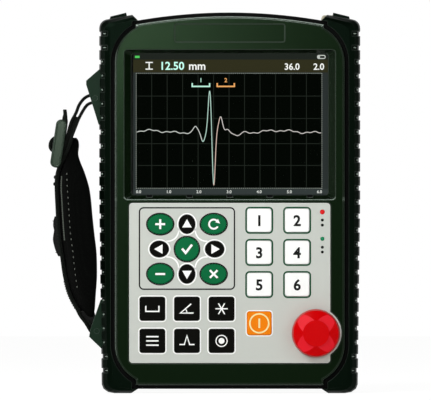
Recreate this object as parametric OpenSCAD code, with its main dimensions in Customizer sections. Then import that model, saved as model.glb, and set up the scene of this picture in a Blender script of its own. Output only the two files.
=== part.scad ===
// Hand-held ultrasonic thickness gauge: screen, keypad, knob, rubber side grips and hand strap.
// Millimetres. +Z up, front towards -Y, standing on the feet of the grips at z = 0.

/* [Face] */
// Width of the screen recess at the face
window_w = 129; // [118:0.5:134]
// Height of the screen recess at the face
window_h = 91.5; // [84:0.5:100]
// Depth of the bevel round the screen
window_depth = 5; // [4:0.1:6]
// Width of that bevel at the left and right
bevel_side = 4.5; // [3:0.1:5]
// Width of that bevel at the top
bevel_top = 2.1; // [1.5:0.1:3]
// Width of that bevel at the bottom
bevel_bottom = 2.8; // [1.5:0.1:3.5]
// Width of the notches in the bevel's lower ledge
notch_w = 3.3; // [2:0.1:5]
// Spacing of those notches
notch_pitch = 24.5; // [15:0.5:26]
// Face left beside the window
face_side = 5.7; // [5.2:0.1:8]
// Face between the keypad panel and the window
window_gap = 2.1; // [1.8:0.1:6]
// Face above the window, up to the top of the arch
crown = 20.4; // [18:0.2:26]
// Face below the keypad panel
chin = 13.55; // [12:0.05:18]
// Height of the face's lower edge above the feet
face_z0 = 5.05; // [4.2:0.05:8]
// Radius of the arched top
arch_r = 325; // [290:5:450]
// Radius of the face's corners
corner_r = 24; // [20:0.5:27]
// How far in from the side a corner curve ends
corner_run = 12.9; // [11:0.1:15]
// Step from a corner curve's end up to the arch
top_step = 1.8; // [1:0.1:2.6]
// Step from a corner curve's end down to the lower edge
low_step = 3.3; // [2:0.1:5]
// Rounding of the face's edge
face_round = 1.2; // [0.6:0.1:1.8]
// Width of the name panel's recess
name_w = 67.2; // [50:0.2:80]
// Height of the name panel's recess
name_h = 11; // [8:0.2:12]
// Depth of the name panel's recess
name_depth = 0.5; // [0.3:0.1:1]

/* [Housing] */
// Depth from the front face to the back
body_d = 50; // [49:0.5:60]
// From the face back to the joint of the two shells
part_depth = 21; // [19:0.5:23]
// How far the face stands out before the grips
face_proud = 2; // [1:0.1:3]
// Depth of the groove between face and grips
groove_depth = 5; // [3:0.1:6]
// Width of that groove
groove_w = 2.3; // [1.6:0.1:3]
// Wall of the shells
wall = 2.5; // [2:0.1:3]
// Thickness of the rear wall behind the stand and the battery door
back_pad_t = 6.5; // [6:0.1:8]
// Radius of the screws that hold the shells
screw_r = 1.5; // [1.2:0.1:1.8]
// Radius of the screw bosses
boss_r = 3.2; // [3:0.1:3.4]

/* [Grips] */
// Thickness of a grip beside the housing
grip_t = 7.2; // [6:0.1:10]
// Flat front edge of a grip beside the groove
grip_lip = 0.7; // [0.5:0.1:1.5]
// Depth over which a grip's front edge rolls back
front_roll = 7; // [5:0.5:10]
// Depth over which a grip's rear edge rolls forward
back_roll = 6; // [4:0.5:8]
// How far a grip's rear edge rolls in
back_round = 5.5; // [4:0.1:6]
// Narrowing of each grip from its middle to its foot
grip_taper = 1.5; // [0.5:0.1:3]
// Width of a side groove
rib_gap = 3; // [2:0.1:4]
// Depth of a side groove
rib_depth = 0.8; // [0.5:0.1:1.2]
// Spacing of the side grooves
rib_pitch = 8.57; // [7:0.01:12]
// Height of the raised pad on each top corner
corner_pad_t = 1.9; // [1:0.1:2]

/* [Keypad] */
// Thickness of the keypad panel
panel_t = 1.5; // [1.2:0.1:2]
// How far the panel stands proud of the face
panel_proud = 0.3; // [0.1:0.1:0.6]
// How far the keys stand proud of the panel
key_proud = 0.8; // [0.6:0.1:1.5]
// Travel of a key
key_travel = 0.8; // [0.5:0.1:1]
// Clearance between a key and its hole
key_gap = 0.2; // [0.1:0.05:0.3]
// Width of a green key
oval_w = 15.6; // [13:0.1:16]
// Height of a green key
oval_h = 12.2; // [10:0.1:13]
// Diameter of the enter key
enter_d = 14.5; // [12:0.1:15]
// Length of an arrow key, along its arrow
arrow_l = 11.6; // [9:0.1:12]
// Width of an arrow key
arrow_w = 10; // [8:0.1:11]
// Gap between the enter key and the arrows beside it
nav_gap_x = 3.25; // [2:0.05:4]
// Gap between the enter key and the arrows above and below it
nav_gap_z = 2.15; // [1.8:0.05:4]
// Width of a black key
black_w = 15.4; // [12:0.1:17]
// Height of a black key
black_h = 14.4; // [12:0.1:16]
// Width of a white key
white_w = 14.9; // [12:0.1:17]
// Height of a white key
white_h = 14.3; // [12:0.1:16]
// Gap between black keys
black_gap = 5.7; // [3:0.1:7]
// Gap between rows of black or white keys
row_gap = 5.2; // [3:0.1:6]
// Gap between white keys
white_gap = 8.2; // [4:0.1:9]
// Gap between the navigation keys and the black keys
group_gap = 7.9; // [5:0.1:10]
// Gap between the black keys and the white keys
middle_gap = 7.85; // [5:0.05:10]
// Panel left of the black keys
panel_left = 6.4; // [5:0.1:9]
// Panel right of the white keys, where the lamps are
panel_right = 12.75; // [11:0.05:15]
// Panel above the navigation keys
panel_top = 6.8; // [5:0.1:9]
// Panel below the black keys
panel_low = 6.3; // [5:0.1:9]
// Face left beside the keypad panel
panel_side = 8.9; // [8:0.1:12]

/* [Knob] */
// Diameter of the knob
knob_d = 29.4; // [24:0.2:30]
// Height of the knob
knob_h = 10.9; // [10:0.1:16]
// Diameter of the knob's flat centre
knob_flat_d = 16; // [12:0.2:18]
// Slope of the knob's four facets, in degrees
facet_tilt = 23.7; // [15:0.1:30]
// Radius of the shaft
shaft_r = 3; // [2:0.1:3.2]
// Panel left round the knob
lobe_rim = 0.9; // [0.5:0.1:1.2]

/* [Back] */
// Width of the battery pack
battery_w = 76; // [60:1:78]
// Height of the battery pack
battery_h = 74; // [60:1:76]
// Depth of the battery pack
battery_d = 19; // [15:0.5:20]
// How far the battery door reaches above and below the pack
door_lap = 6; // [4:0.1:7]
// Thickness of the battery door
door_t = 2; // [1.5:0.1:3]
// Width of the tilt stand
stand_w = 80; // [60:1:84]
// Length of the tilt stand below its hinge
stand_l = 88; // [70:1:90]
// Thickness of the tilt stand
stand_t = 4; // [3.5:0.1:4.2]
// Radius of the stand's hinge pins
stand_pin_r = 1.1; // [0.8:0.1:1.3]

/* [Sockets] */
// Bore of a probe socket
socket_bore_r = 3.5; // [3:0.05:3.7]
// Depth of that bore
socket_bore_l = 8; // [6:0.1:10]
// Outer radius of a socket's barrel
socket_r = 4.5; // [4.3:0.1:5]
// Outer radius of a socket's nut
socket_nut_r = 6.2; // [5.8:0.1:6.6]
// Spacing of the two sockets
socket_pitch = 14; // [13.5:0.1:14.5]

/* [Strap] */
// How far the strap stands out from the grip
strap_reach = 26.6; // [24:0.2:32]
// Width of the webbing
webbing_w = 25; // [20:0.5:26]
// Thickness of the webbing
webbing_t = 1.6; // [1.2:0.1:1.8]
// Thickness of the strap pad
pad_t = 4; // [3:0.1:5]
// Half the width of the pad, across the hand
pad_half = 25; // [18:0.5:25]
// Radius of the bars that the webbing turns round
lug_pin_r = 1.5; // [1.2:0.1:1.6]
// Thickness of a lug's cheek
cheek_t = 4; // [3:0.1:5]
// How far a lug stands out from the grip
lug_out = 8; // [6:0.1:9]
// Length of the slide buckle
buckle_l = 28; // [24:0.5:32]

/* [Hidden] */
eps = 0.01;
fit = 0.05;
slip = 0.3;
grip_gap = 0.1;

// Depths, from the face back
y_face = -body_d / 2;
y_back = body_d / 2;
y_part = y_face + part_depth;
y_grip = y_face + face_proud;
y_rim = y_face + groove_depth;
y_panel_front = y_face - panel_proud;
y_panel_back = y_panel_front + panel_t;

// Keypad panel, from the sizes of its keys and the gaps between them
nav_dx = enter_d / 2 + arrow_l / 2 + nav_gap_x;
nav_dz = enter_d / 2 + arrow_l / 2 + nav_gap_z;
black_dx = black_w + black_gap;
white_dx = white_w + white_gap;
row_dz = max(black_h, white_h) + row_gap;
panel_w = panel_left + 2 * black_dx + black_w + middle_gap + white_dx + white_w + panel_right;
panel_h = panel_low + black_h / 2 + row_dz + black_h / 2 + group_gap + oval_h / 2 + 2 * nav_dz
  + oval_h / 2 + panel_top;

// Heights and widths of the face, stacked from the feet up
face_w = max(window_w + 2 * face_side, panel_w + 2 * panel_side);
panel_z0 = face_z0 + chin;
panel_z1 = panel_z0 + panel_h;
window_z0 = panel_z1 + window_gap;
window_z1 = window_z0 + window_h;
face_z1 = window_z1 + crown;
rim_z1 = face_z1 + groove_w;
notch_x = face_w / 2 - corner_run;
corner_cx = face_w / 2 - corner_r;
corner_rise = sqrt(corner_r * corner_r - (notch_x - corner_cx) * (notch_x - corner_cx));
arch_cz = face_z1 - arch_r;
arch_at_notch = arch_cz + sqrt(arch_r * arch_r - notch_x * notch_x);
corner_z0 = face_z0 + low_step + corner_rise;
corner_z1 = arch_at_notch - top_step - corner_rise;

function arc_pts(cx, cz, r, a0, a1, n) =
  [for (i = [0:n]) let (a = a0 + (a1 - a0) * i / n) [cx + r * cos(a), cz + r * sin(a)]];

function mirrored(pts) = [for (i = [len(pts) - 1:-1:0]) [-pts[i][0], pts[i][1]]];

// Right half of the housing's outline, moved out by d
function outline_half(d) =
  let (r = corner_r + d, nx = notch_x + d, a = acos((nx - corner_cx) / r))
  let (ra = arch_r + d, b = acos(nx / ra), step = (90 - b) / 9)
  concat([[nx, face_z0 - d]],
    arc_pts(corner_cx, corner_z0, r, -a, 0, 10),
    arc_pts(corner_cx, corner_z1, r, 0, a, 10),
    arc_pts(0, arch_cz, ra, b, 90 - step, 8));

// The housing's whole outline, from the middle of its lower edge round to the left
function outline(d) =
  concat([[0, face_z0 - d]], outline_half(d), [[0, face_z1 + d]], mirrored(outline_half(d)));

// Centred rectangle with round corners
function rounded(w, h, r) = concat(
  arc_pts(w / 2 - r, h / 2 - r, r, 0, 90, 5), arc_pts(r - w / 2, h / 2 - r, r, 90, 180, 5),
  arc_pts(r - w / 2, r - h / 2, r, 180, 270, 5), arc_pts(w / 2 - r, r - h / 2, r, 270, 360, 5));

function oval(w, h) = [for (i = [0:27]) [w / 2 * cos(i * 360 / 28), h / 2 * sin(i * 360 / 28)]];

function moved(pts, x, z) = [for (p = pts) [p[0] + x, p[1] + z]];

// Outline in x and z, drawn from depth y0 back to y1
module slab(y0, y1) {
  translate([0, y1, 0])
    rotate([90, 0, 0])
      linear_extrude(y1 - y0)
        children();
}

// Round things whose own axis points out of the face, set at x, z and depth y
module facing(x, y, z) {
  translate([x, y, z])
    rotate([90, 0, 0])
      children();
}

// Round bar or hole along Y
module bar(x, z, r, y0, y1) {
  facing(x, y1, z)
    cylinder(r = r, h = y1 - y0, $fn = 48);
}

// Outlines of equal length at their own depths, joined into one solid
module loft(rings, depths) {
  n = len(rings[0]);
  last = len(rings) - 1;
  points = [for (i = [0:last]) for (p = rings[i]) [p[0], depths[i], p[1]]];
  sides = [for (i = [0:last - 1]) for (j = [0:n - 1])
    let (a = i * n + j, b = i * n + (j + 1) % n)
    each [[a, b, b + n], [a, b + n, a + n]]];
  front = concat([0], [for (j = [n - 1:-1:1]) j]);
  back = [for (j = [0:n - 1]) last * n + j];
  polyhedron(points, concat([front, back], sides));
}

// Outer form of the grips, which also rounds the back of the rear shell
grip_x = face_w / 2 + groove_w + grip_t;
grip_round = grip_t - grip_lip;
edge_ratio = 0.5;
foot_x = grip_x - 9.3;
foot_rise = 5.5;
taper_z = 118;
peak_x = notch_x + groove_w;
peak_z = rim_z1 - 1.3;
shoulder_drop = 2.9;
shoulder_r = 5.4;
shoulder_turn = 79;
shoulder_z = peak_z - shoulder_drop - shoulder_r * sin(shoulder_turn);

function side_x(z) = grip_x - grip_taper * max(0, 1 - z / taper_z);

function envelope_half(inset) = let (dz = inset * edge_ratio) concat(
  [for (t = [0:30:90])
    [foot_x + (grip_x - grip_taper - foot_x) * sin(t) - inset, foot_rise * (1 - cos(t)) + dz]],
  [[grip_x - inset, taper_z]],
  [for (p = arc_pts(grip_x - shoulder_r, shoulder_z, shoulder_r, 0, shoulder_turn, 5))
    [p[0] - inset, p[1] - dz]],
  [[peak_x, peak_z - dz]]);

function envelope_ring(inset) = concat(
  envelope_half(inset), [[0, rim_z1 + eps - inset * edge_ratio]], mirrored(envelope_half(inset)));

module envelope(inset) {
  turns = [0:30:90];
  rings = concat(
    [for (t = turns) envelope_ring(inset + grip_round * (1 - sin(t)))],
    [for (t = turns) envelope_ring(inset + back_round * (1 - cos(t)))]);
  depths = concat(
    [for (t = turns) y_grip + inset + front_roll * (1 - cos(t))],
    [for (t = turns) y_back - inset - back_roll * (1 - sin(t))]);
  loft(rings, depths);
}

// Shoulders of the rear shell beside the arch, which carry the sockets
shoulder_x0 = peak_x - 5.5;
shoulder_x1 = face_w / 2 + 0.4;
shoulder_top = rim_z1 - 7.1;
shoulder_z0 = corner_z1 + 4;
socket_x = (shoulder_x0 + shoulder_x1) / 2;
socket_y0 = y_part + socket_nut_r + 1;
socket_y = [socket_y0, socket_y0 + socket_pitch];

// Screws that hold the two shells together
screw_top_x = 48;
screw_places = [
  [screw_top_x, window_z1 + 6.2],
  [face_w / 2 - 5.6, panel_z1 - 2.2],
  [notch_x - 2.3, face_z0 + 8.45]];
screw_head_r = screw_r + 1.3;
screw_head_t = 2;
screw_sink = 2.2;
screw_bite = 10;

module at_screws() {
  for (p = screw_places, side = [-1, 1])
    translate([side * p[0], 0, p[1]])
      children();
}

// Screen stack behind the bevel
lens_w = window_w - 2 * bevel_side;
lens_z0 = window_z0 + bevel_bottom;
lens_z1 = window_z1 - bevel_top;
lens_h = lens_z1 - lens_z0;
lens_z = (lens_z0 + lens_z1) / 2;
glass_lap = 3;
gasket_t = 0.5;
glass_t = 1.5;
lcd_t = 7;
board_t = 1.6;
y_glass = y_face + window_depth + gasket_t;
y_lcd = y_glass + glass_t + slip;
y_board = y_lcd + lcd_t;
notch_drop = 1.6;
name_r = 1.2;
name_gap = 4.6;

// Keypad stack behind the panel
panel_r = 2;
panel_seam = 0.35;
ledge = 2.5;
flange_lap = 0.7;
flange_t = 0.8;
flange_gap = 0.1;
mat_clear = 0.4;
mat_t = 1.2;
mat_lap = 2;
mat_w = panel_w - 2 * ledge + 2 * mat_lap;
mat_h = panel_h - 2 * ledge + 2 * mat_lap;
y_flange = y_panel_back + flange_gap;
y_mat = y_flange + flange_t + key_travel + mat_clear;
y_switches = y_mat + mat_t;
y_switches_back = y_switches + board_t;
panel_z = (panel_z0 + panel_z1) / 2;

// Knob and encoder
knob_inset = 8.75;
knob_rise = 18.2;
knob_x = panel_w / 2 - knob_inset;
knob_z = panel_z0 + knob_rise;
lobe_r = knob_d / 2 + lobe_rim;
knob_clear = 0.5;
y_knob = y_panel_front - knob_clear;
bushing_r = shaft_r + 1.5;
bushing_out = 2;
nut_t = 1.5;
encoder_w = 12;
encoder_d = 6.5;
encoder_cut = encoder_w + 1;

// Indicator lamps
led_inset = 4.8;
led_drop = 5.5;
led_pitch = 16.3;
led_x = panel_w / 2 - led_inset;
red_led_z = panel_z1 - led_drop;
green_led_z = red_led_z - led_pitch;
red_led_r = 1.45;
green_led_r = 1.2;
led_proud = 0.5;

// Keys: name, x, z, width, height, corner radius (0 for an oval), colour
black_x = panel_left + black_w / 2 - panel_w / 2;
black_z = panel_z0 + panel_low + black_h / 2;
nav_x = black_x + black_dx;
nav_z = panel_z1 - panel_top - oval_h / 2 - nav_dz;
white_x = panel_w / 2 - panel_right - white_w / 2;
white_top = panel_z1 - panel_top / 2 - white_h / 2;
power_drop = 4;
arrow_shift = 0.6;
power_z = white_top - 3 * row_dz - power_drop;
black_key_r = 1.5;
white_key_r = 1.6;
green = "#0c6a3e";
black = "#181814";
white = "#eef0ec";
orange = "#ed8f1b";
keys = concat(
  [
    ["gain_up_key", nav_x - nav_dx, nav_z + nav_dz, oval_w, oval_h, 0, green],
    ["auto_gain_key", nav_x + nav_dx, nav_z + nav_dz, oval_w, oval_h, 0, green],
    ["gain_down_key", nav_x - nav_dx, nav_z - nav_dz, oval_w, oval_h, 0, green],
    ["cancel_key", nav_x + nav_dx, nav_z - nav_dz, oval_w, oval_h, 0, green],
    ["enter_key", nav_x, nav_z, enter_d, enter_d, 0, green],
    ["up_key", nav_x, nav_z + nav_dz, arrow_w, arrow_l, 0, black],
    ["down_key", nav_x, nav_z - nav_dz, arrow_w, arrow_l, 0, black],
    ["left_key", nav_x - nav_dx - arrow_shift, nav_z, arrow_l, arrow_w, 0, black],
    ["right_key", nav_x + nav_dx + arrow_shift, nav_z, arrow_l, arrow_w, 0, black],
    ["power_key", white_x - white_dx, power_z, white_w, white_h, white_key_r, orange]
  ],
  [for (i = [0:5])
    [["gate_key", "angle_key", "freeze_key", "menu_key", "peak_key", "record_key"][i],
      black_x + (i % 3) * black_dx, black_z + (i < 3 ? row_dz : 0), black_w, black_h, black_key_r, black]],
  [for (i = [0:5])
    [str("soft_key_", i + 1), white_x + (i % 2 - 1) * white_dx, white_top - floor(i / 2) * row_dz,
      white_w, white_h, white_key_r, white]]);

function key_outline(k, grow) = moved(
  k[5] == 0 ? oval(k[3] + 2 * grow, k[4] + 2 * grow)
    : rounded(k[3] + 2 * grow, k[4] + 2 * grow, k[5] + grow), k[1], k[2]);

// Back of the housing
well_gap = 0.4;
well_wall = 1.5;
door_edge = 0.7;
door_screw_r = 1.5;
door_screw_head_r = 3;
door_screw_head_t = 1.2;
door_screw_land = 0.9;
door_screw_x = battery_w / 2 + well_gap + well_wall + door_screw_land + door_screw_r;
door_w = 2 * (door_screw_x + door_screw_head_r + door_edge);
door_h = battery_h + 2 * door_lap;
back_pad_land = 4;
stand_land = 10;
back_pad_w = max(door_w + 2 * back_pad_land, stand_w + 2 * stand_land);
back_pad_z0 = face_z0 + 7;
stand_gap = 0.4;
stand_z0 = back_pad_z0 + 5;
stand_axis_z = stand_z0 + stand_l;
stand_axis_y = y_back - stand_t / 2;
stand_floor_gap = 0.5;
stand_pin_l = 9;
stand_pin_in = 4;
stand_catch_r = 8;
door_z0 = stand_axis_z + stand_t / 2 + 12;
door_z = door_z0 + door_h / 2;
door_gap = 0.3;
y_battery_back = y_back - door_t - slip;
y_battery = y_battery_back - battery_d;
back_pad_z1 = door_z0 + door_h + back_pad_land;

// Lugs and their bars
lug_pin_gap = 0.2;
loop_r = lug_pin_r + lug_pin_gap + webbing_t / 2;
lug_depth = 2;
lug_sink = 1.2;
lug_half = webbing_w / 2 + 0.9 + cheek_t;
top_pin_drop = 52.3;
top_pin_z = rim_z1 - top_pin_drop;
low_pin_z = 38;
lug_pin_out = 2.6;
top_pin = [-side_x(top_pin_z) - lug_pin_out, top_pin_z];
low_pin = [-side_x(low_pin_z) - lug_pin_out, low_pin_z];

// Strap route: out from the grip, and up from the lower bar, at the reach and span it is drawn for
drawn_reach = 26.6;
drawn_span = 142.2;
function strap_at(out, up) =
  [-grip_x - out / drawn_reach * strap_reach, low_pin_z + up / drawn_span * (top_pin_z - low_pin_z)];

// Slide buckle: s runs down its length from its top end, n points away from the housing
buckle_t = 5;
buckle_r = 2.4;
buckle_bar = 4;
drawn_buckle_l = 28;
drawn_buckle_t = 5;
buckle_bar_t = 3;
buckle_tilt = 8.6;
buckle_top = strap_at(22.8, 128.4);
function buckle_at(s, n) = buckle_top
  + s / drawn_buckle_l * buckle_l * [-sin(buckle_tilt), -cos(buckle_tilt)]
  + n / drawn_buckle_t * buckle_t * [-cos(buckle_tilt), sin(buckle_tilt)];

function loop_round(c, a0, a1) = arc_pts(c[0], c[1], loop_r, a0, a1, 7);

webbing_low = [strap_at(6.9, 6.2), strap_at(5.4, 4.3)];
webbing_run = [
  strap_at(5.3, -0.4), strap_at(8.4, 4.6), strap_at(11.7, 9), strap_at(13.9, 13.2), strap_at(16.6, 18),
  strap_at(19.1, 23.9), strap_at(21.6, 34), strap_at(23.2, 45), strap_at(24.8, 56), strap_at(25.6, 66),
  strap_at(26.1, 76), strap_at(26.6, 88), strap_at(26.2, 95), strap_at(24.7, 100.6), strap_at(22, 106),
  strap_at(19.4, 112), strap_at(16.9, 119.3), strap_at(14.6, 125.2), strap_at(12.2, 131),
  strap_at(7.8, 138)];
webbing_return = [
  strap_at(5.6, 144.2), strap_at(9.2, 142.4), strap_at(12.4, 138.4), strap_at(14.4, 133.4)];
webbing_buckle = [for (p = [
  [-0.9, -5.7], [3, -5], [7, -4.6], [11, -4.1], [14.5, -3.3], [17.6, -1.8], [19.3, 0.6], [19, 3.2],
  [17.2, 4.9], [14.6, 5.2], [12.2, 4.4], [10.4, 2.5], [9.3, 0.2], [8, -1.6], [5.2, -2.5], [2, -2.5],
  [-0.8, -2.3], [-3.4, -1.2], [-7.1, -0.3]])
  buckle_at(p[0], p[1])];
webbing_route = concat(
  webbing_low, loop_round(low_pin, 120, -105), webbing_run,
  loop_round(top_pin, 250, 455), webbing_return, webbing_buckle);

// Flat band of a given thickness along a route
function band(route, t) =
  let (last = len(route) - 1)
  let (normals = [for (i = [0:last])
    let (d = route[min(i + 1, last)] - route[max(i - 1, 0)])
    [-d[1], d[0]] / norm(d)])
  concat([for (i = [0:last]) route[i] + normals[i] * t / 2],
    [for (i = [last:-1:0]) route[i] - normals[i] * t / 2]);

// Keeper tab: its outer side, folded twice, and its inner side along the webbing
tab_w = 22;
tab_outer = [
  strap_at(25.2, 45.6), strap_at(27, 49.6), strap_at(28.4, 55.2), strap_at(28.2, 58.6), strap_at(27.8, 61.5),
  strap_at(28.3, 64.4), strap_at(28.1, 67.4), strap_at(27.4, 70)];
tab_inner = [
  strap_at(26.9, 70), strap_at(26.35, 61.5), strap_at(25.8, 55.2), strap_at(24.5, 45.6)];

// Pad stations: up, outer middle, edges, share of the half width
pad_stations = [
  [7.6, 9.2, 4, 0.46], [9.5, 10.7, 3.6, 0.54], [13.2, 12.6, 3, 0.64], [18, 15.3, 2.7, 0.75],
  [24, 17.9, 2.3, 0.86], [34, 20.4, 1.7, 0.97], [47.6, 22.4, 2, 1], [58, 23.8, 3.2, 1], [70, 24.6, 4.5, 1],
  [80, 25.1, 5.4, 1], [88, 25.4, 6.6, 0.98], [96.9, 24.5, 9.3, 0.92], [103, 22.2, 11.8, 0.82],
  [108, 19.8, 13.2, 0.7], [113, 17.8, 12.9, 0.56], [118, 16, 13.4, 0.36]];
pad_steps = 12;
pad_square = 2.6;
pad_thin_share = 0.7;

function pad_side(station, thin, turn) =
  let (hw = station[3] * pad_half - thin)
  let (sag = max((station[1] - station[2]) / drawn_reach * strap_reach - thin, 1))
  let (s = sin(turn), c = max(cos(turn), 0))
  let (edge = strap_at(station[2], station[0]))
  [edge[0] - sag * pow(c, 2 / pad_square), sign(s) * hw * pow(abs(s), 2 / pad_square), edge[1]];

function pad_ring(station) =
  let (thin = min(pad_t, (station[1] - station[2]) * pad_thin_share))
  concat([for (i = [0:pad_steps]) pad_side(station, 0, 180 * i / pad_steps - 90)],
    [for (i = [pad_steps:-1:0]) pad_side(station, thin, 180 * i / pad_steps - 90)]);

// Panel outline with the lobe round the knob, grown by d
module panel_blank(d, y0, y1) {
  slab(y0, y1)
    polygon(moved(rounded(panel_w + 2 * d, panel_h + 2 * d, panel_r + d), 0, panel_z));
  bar(knob_x, knob_z, lobe_r + d, y0, y1);
}

// Bevel cut that narrows from the face to the lens
module window_cut() {
  hull() {
    slab(y_face - eps, y_face)
      polygon(moved(rounded(window_w, window_h, panel_r), 0, (window_z0 + window_z1) / 2));
    slab(y_face + window_depth, y_face + window_depth + eps)
      polygon(moved(rounded(lens_w, lens_h, panel_r), 0, lens_z));
  }
  for (i = [-2:2])
    translate([i * notch_pitch - notch_w / 2, y_face + window_depth / 2, lens_z0 - notch_drop])
      cube([notch_w, window_depth, notch_drop + bevel_bottom]);
}

module front_housing() {
  frame_lip = 2.5;
  frame_z0 = window_z0 - window_gap + 0.2;
  frame_w = window_w + 2 * frame_lip;
  frame_h = window_z1 + frame_lip - frame_z0;
  color("#2c4028")
    difference() {
      union() {
        difference() {
          loft([outline(-face_round), outline(-0.3 * face_round), outline(0), outline(0)],
            [y_face, y_face + 0.3 * face_round, y_face + face_round, y_part]);
          slab(y_face + wall, y_part + 1)
            polygon(outline(-wall));
        }
        slab(y_face + wall - eps, y_face + window_depth)
          polygon(moved(rounded(frame_w, frame_h, panel_r), 0, frame_z0 + frame_h / 2));
        at_screws()
          bar(0, 0, boss_r, y_face + wall - eps, y_part);
      }
      window_cut();
      panel_blank(panel_seam, y_face - 1, y_panel_back);
      slab(y_face - 1, y_face + wall + 1)
        polygon(moved(rounded(panel_w - 2 * ledge, panel_h - 2 * ledge, panel_r), 0, panel_z));
      slab(y_face - 1, y_face + name_depth)
        polygon(moved(rounded(name_w, name_h, name_r), 0, window_z1 + name_gap + name_h / 2));
      at_screws()
        bar(0, 0, screw_r + fit, y_part - screw_bite - 1, y_part + 1);
    }
}

module seal_frame() {
  color("#0b0d0b")
    difference() {
      slab(y_rim, y_part)
        polygon(outline(groove_w));
      slab(y_rim - 1, y_part + 1)
        polygon(outline(grip_gap));
    }
}

module shoulder(side) {
  translate([side > 0 ? shoulder_x0 : -shoulder_x1, y_part, shoulder_z0])
    cube([shoulder_x1 - shoulder_x0, y_back - y_part, shoulder_top - shoulder_z0]);
}

module rear_housing() {
  well_w = battery_w + 2 * well_gap;
  well_h = battery_h + 2 * well_gap;
  color("#1c2c1c")
    difference() {
      union() {
        difference() {
          intersection() {
            envelope(0);
            union() {
              slab(y_part, y_back + 1)
                polygon(outline(groove_w));
              shoulder(1);
              shoulder(-1);
            }
          }
          slab(y_part - 1, y_back - wall)
            polygon(outline(groove_w - wall));
        }
        intersection() {
          slab(y_part, y_back - wall)
            polygon(outline(groove_w - wall + eps));
          union() {
            shoulder(1);
            shoulder(-1);
          }
        }
        translate([-back_pad_w / 2, y_back - back_pad_t, back_pad_z0])
          cube([back_pad_w, back_pad_t - eps, back_pad_z1 - back_pad_z0]);
        translate([-well_w / 2 - well_wall, y_battery - well_wall, door_z - well_h / 2 - well_wall])
          cube([well_w + 2 * well_wall, y_back - wall - y_battery, well_h + 2 * well_wall]);
        at_screws()
          bar(0, 0, boss_r, y_part, y_back - wall + eps);
      }
      translate([-well_w / 2, y_battery, door_z - well_h / 2])
        cube([well_w, body_d, well_h]);
      slab(y_back - door_t, y_back + 1)
        polygon(moved(rounded(door_w + 2 * door_gap, door_h + 2 * door_gap, 4), 0, door_z));
      for (side = [-1, 1])
        bar(side * door_screw_x, door_z, door_screw_r + fit, y_back - back_pad_t - 1, y_back);
      translate([-stand_w / 2 - stand_gap, y_back - stand_t - stand_floor_gap, stand_z0 - 1.5])
        cube([stand_w + 2 * stand_gap, body_d, stand_l + stand_t / 2 + stand_gap + 1.5]);
      for (side = [-1, 1])
        translate([side * (stand_w / 2 - stand_pin_in), stand_axis_y, stand_axis_z])
          rotate([0, side * 90, 0])
            cylinder(r = stand_pin_r + fit, h = stand_pin_l, $fn = 32);
      at_screws() {
        bar(0, 0, screw_r + fit, y_part - 1, y_back);
        bar(0, 0, screw_head_r + 0.2, y_back - screw_sink, y_back + 1);
      }
      for (y = socket_y)
        translate([socket_x, y, shoulder_z0 - 1])
          cylinder(r = socket_r + fit, h = shoulder_top - shoulder_z0 + 2, $fn = 48);
      for (y = socket_y)
        translate([socket_x, y, shoulder_top])
          cylinder(r = socket_nut_r + 0.4, h = 20, $fn = 48);
      charging_port_box(0.1);
    }
}

// Right-hand grip; the left one is its mirror image
wrap_over = 8.8;
wrap_in = 19.5;
wrap_low_x = 8.3;
wrap_low_z = 13.2;
wrap_under = 5;
grip_blank = [
  [peak_x + wrap_over, peak_z + wrap_over], [peak_x - wrap_in, peak_z - wrap_in],
  [peak_x - wrap_in, wrap_low_z], [peak_x + wrap_low_x, -wrap_under],
  [grip_x + 1, -wrap_under], [grip_x + 1, peak_z + wrap_over]];

rib_start = 3.4;
rib_count = floor((shoulder_z - rib_start - foot_rise) / rib_pitch) + 1;
rib_end = 3.4;
rib_long_end = 5.2;

module side_grooves() {
  difference() {
    union() {
      for (i = [0:rib_count - 1]) {
        reach = i < 2 || i > rib_count - 3 ? rib_long_end : rib_end;
        translate([grip_x - reach, y_grip - 1, shoulder_z - rib_start - i * rib_pitch - rib_gap / 2])
          cube([reach + 1, body_d, rib_gap]);
      }
    }
    envelope(rib_depth);
  }
}

module side_grip() {
  slope = shoulder_drop / (grip_x - shoulder_r - peak_x);
  pad_in = 2.9;
  pad_root = 2;
  pad_x0 = peak_x + pad_in;
  pad_x1 = grip_x - shoulder_r - 0.2;
  difference() {
    union() {
      intersection() {
        envelope(0);
        slab(y_grip - 1, y_back + 1)
          polygon(grip_blank);
      }
      slab(y_grip + front_roll + 2, y_part - 1)
        polygon([
          [pad_x0, peak_z - pad_root - pad_in * slope], [pad_x1, peak_z - pad_root - shoulder_drop],
          [pad_x1 - 1.2, peak_z - shoulder_drop + corner_pad_t],
          [pad_x0 + 0.8, peak_z - pad_in * slope + corner_pad_t]]);
    }
    slab(y_grip - 1, y_back + 1)
      polygon(outline(groove_w + grip_gap));
    translate([shoulder_x0 - 20, y_part - 0.6, shoulder_z0 - grip_gap])
      cube([shoulder_x1 - shoulder_x0 + 20 + grip_gap, body_d, rim_z1]);
    side_grooves();
  }
}

module right_grip() {
  color("#16241a")
    side_grip();
}

// Room in the left grip for a lug's foot and the webbing's turn round its bar
module lug_pocket(z0, z1) {
  translate([-grip_x - 1, -lug_half - grip_gap, z0 - grip_gap])
    cube([1 + lug_sink + lug_depth + grip_taper, 2 * (lug_half + grip_gap), z1 - z0 + 2 * grip_gap]);
}

lug_long = 17.7;
lug_short = 16.1;
low_lug_long = 19;
low_lug_short = 10.6;
lug_nose = 2.4;
top_lug_z = [top_pin_z - lug_short, top_pin_z + lug_long];
low_lug_z = [low_pin_z - low_lug_short, low_pin_z + low_lug_long];

module left_grip() {
  color("#16241a")
    difference() {
      mirror([1, 0, 0])
        side_grip();
      lug_pocket(top_lug_z[0], top_lug_z[1]);
      lug_pocket(low_lug_z[0], low_lug_z[1]);
    }
}

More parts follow.
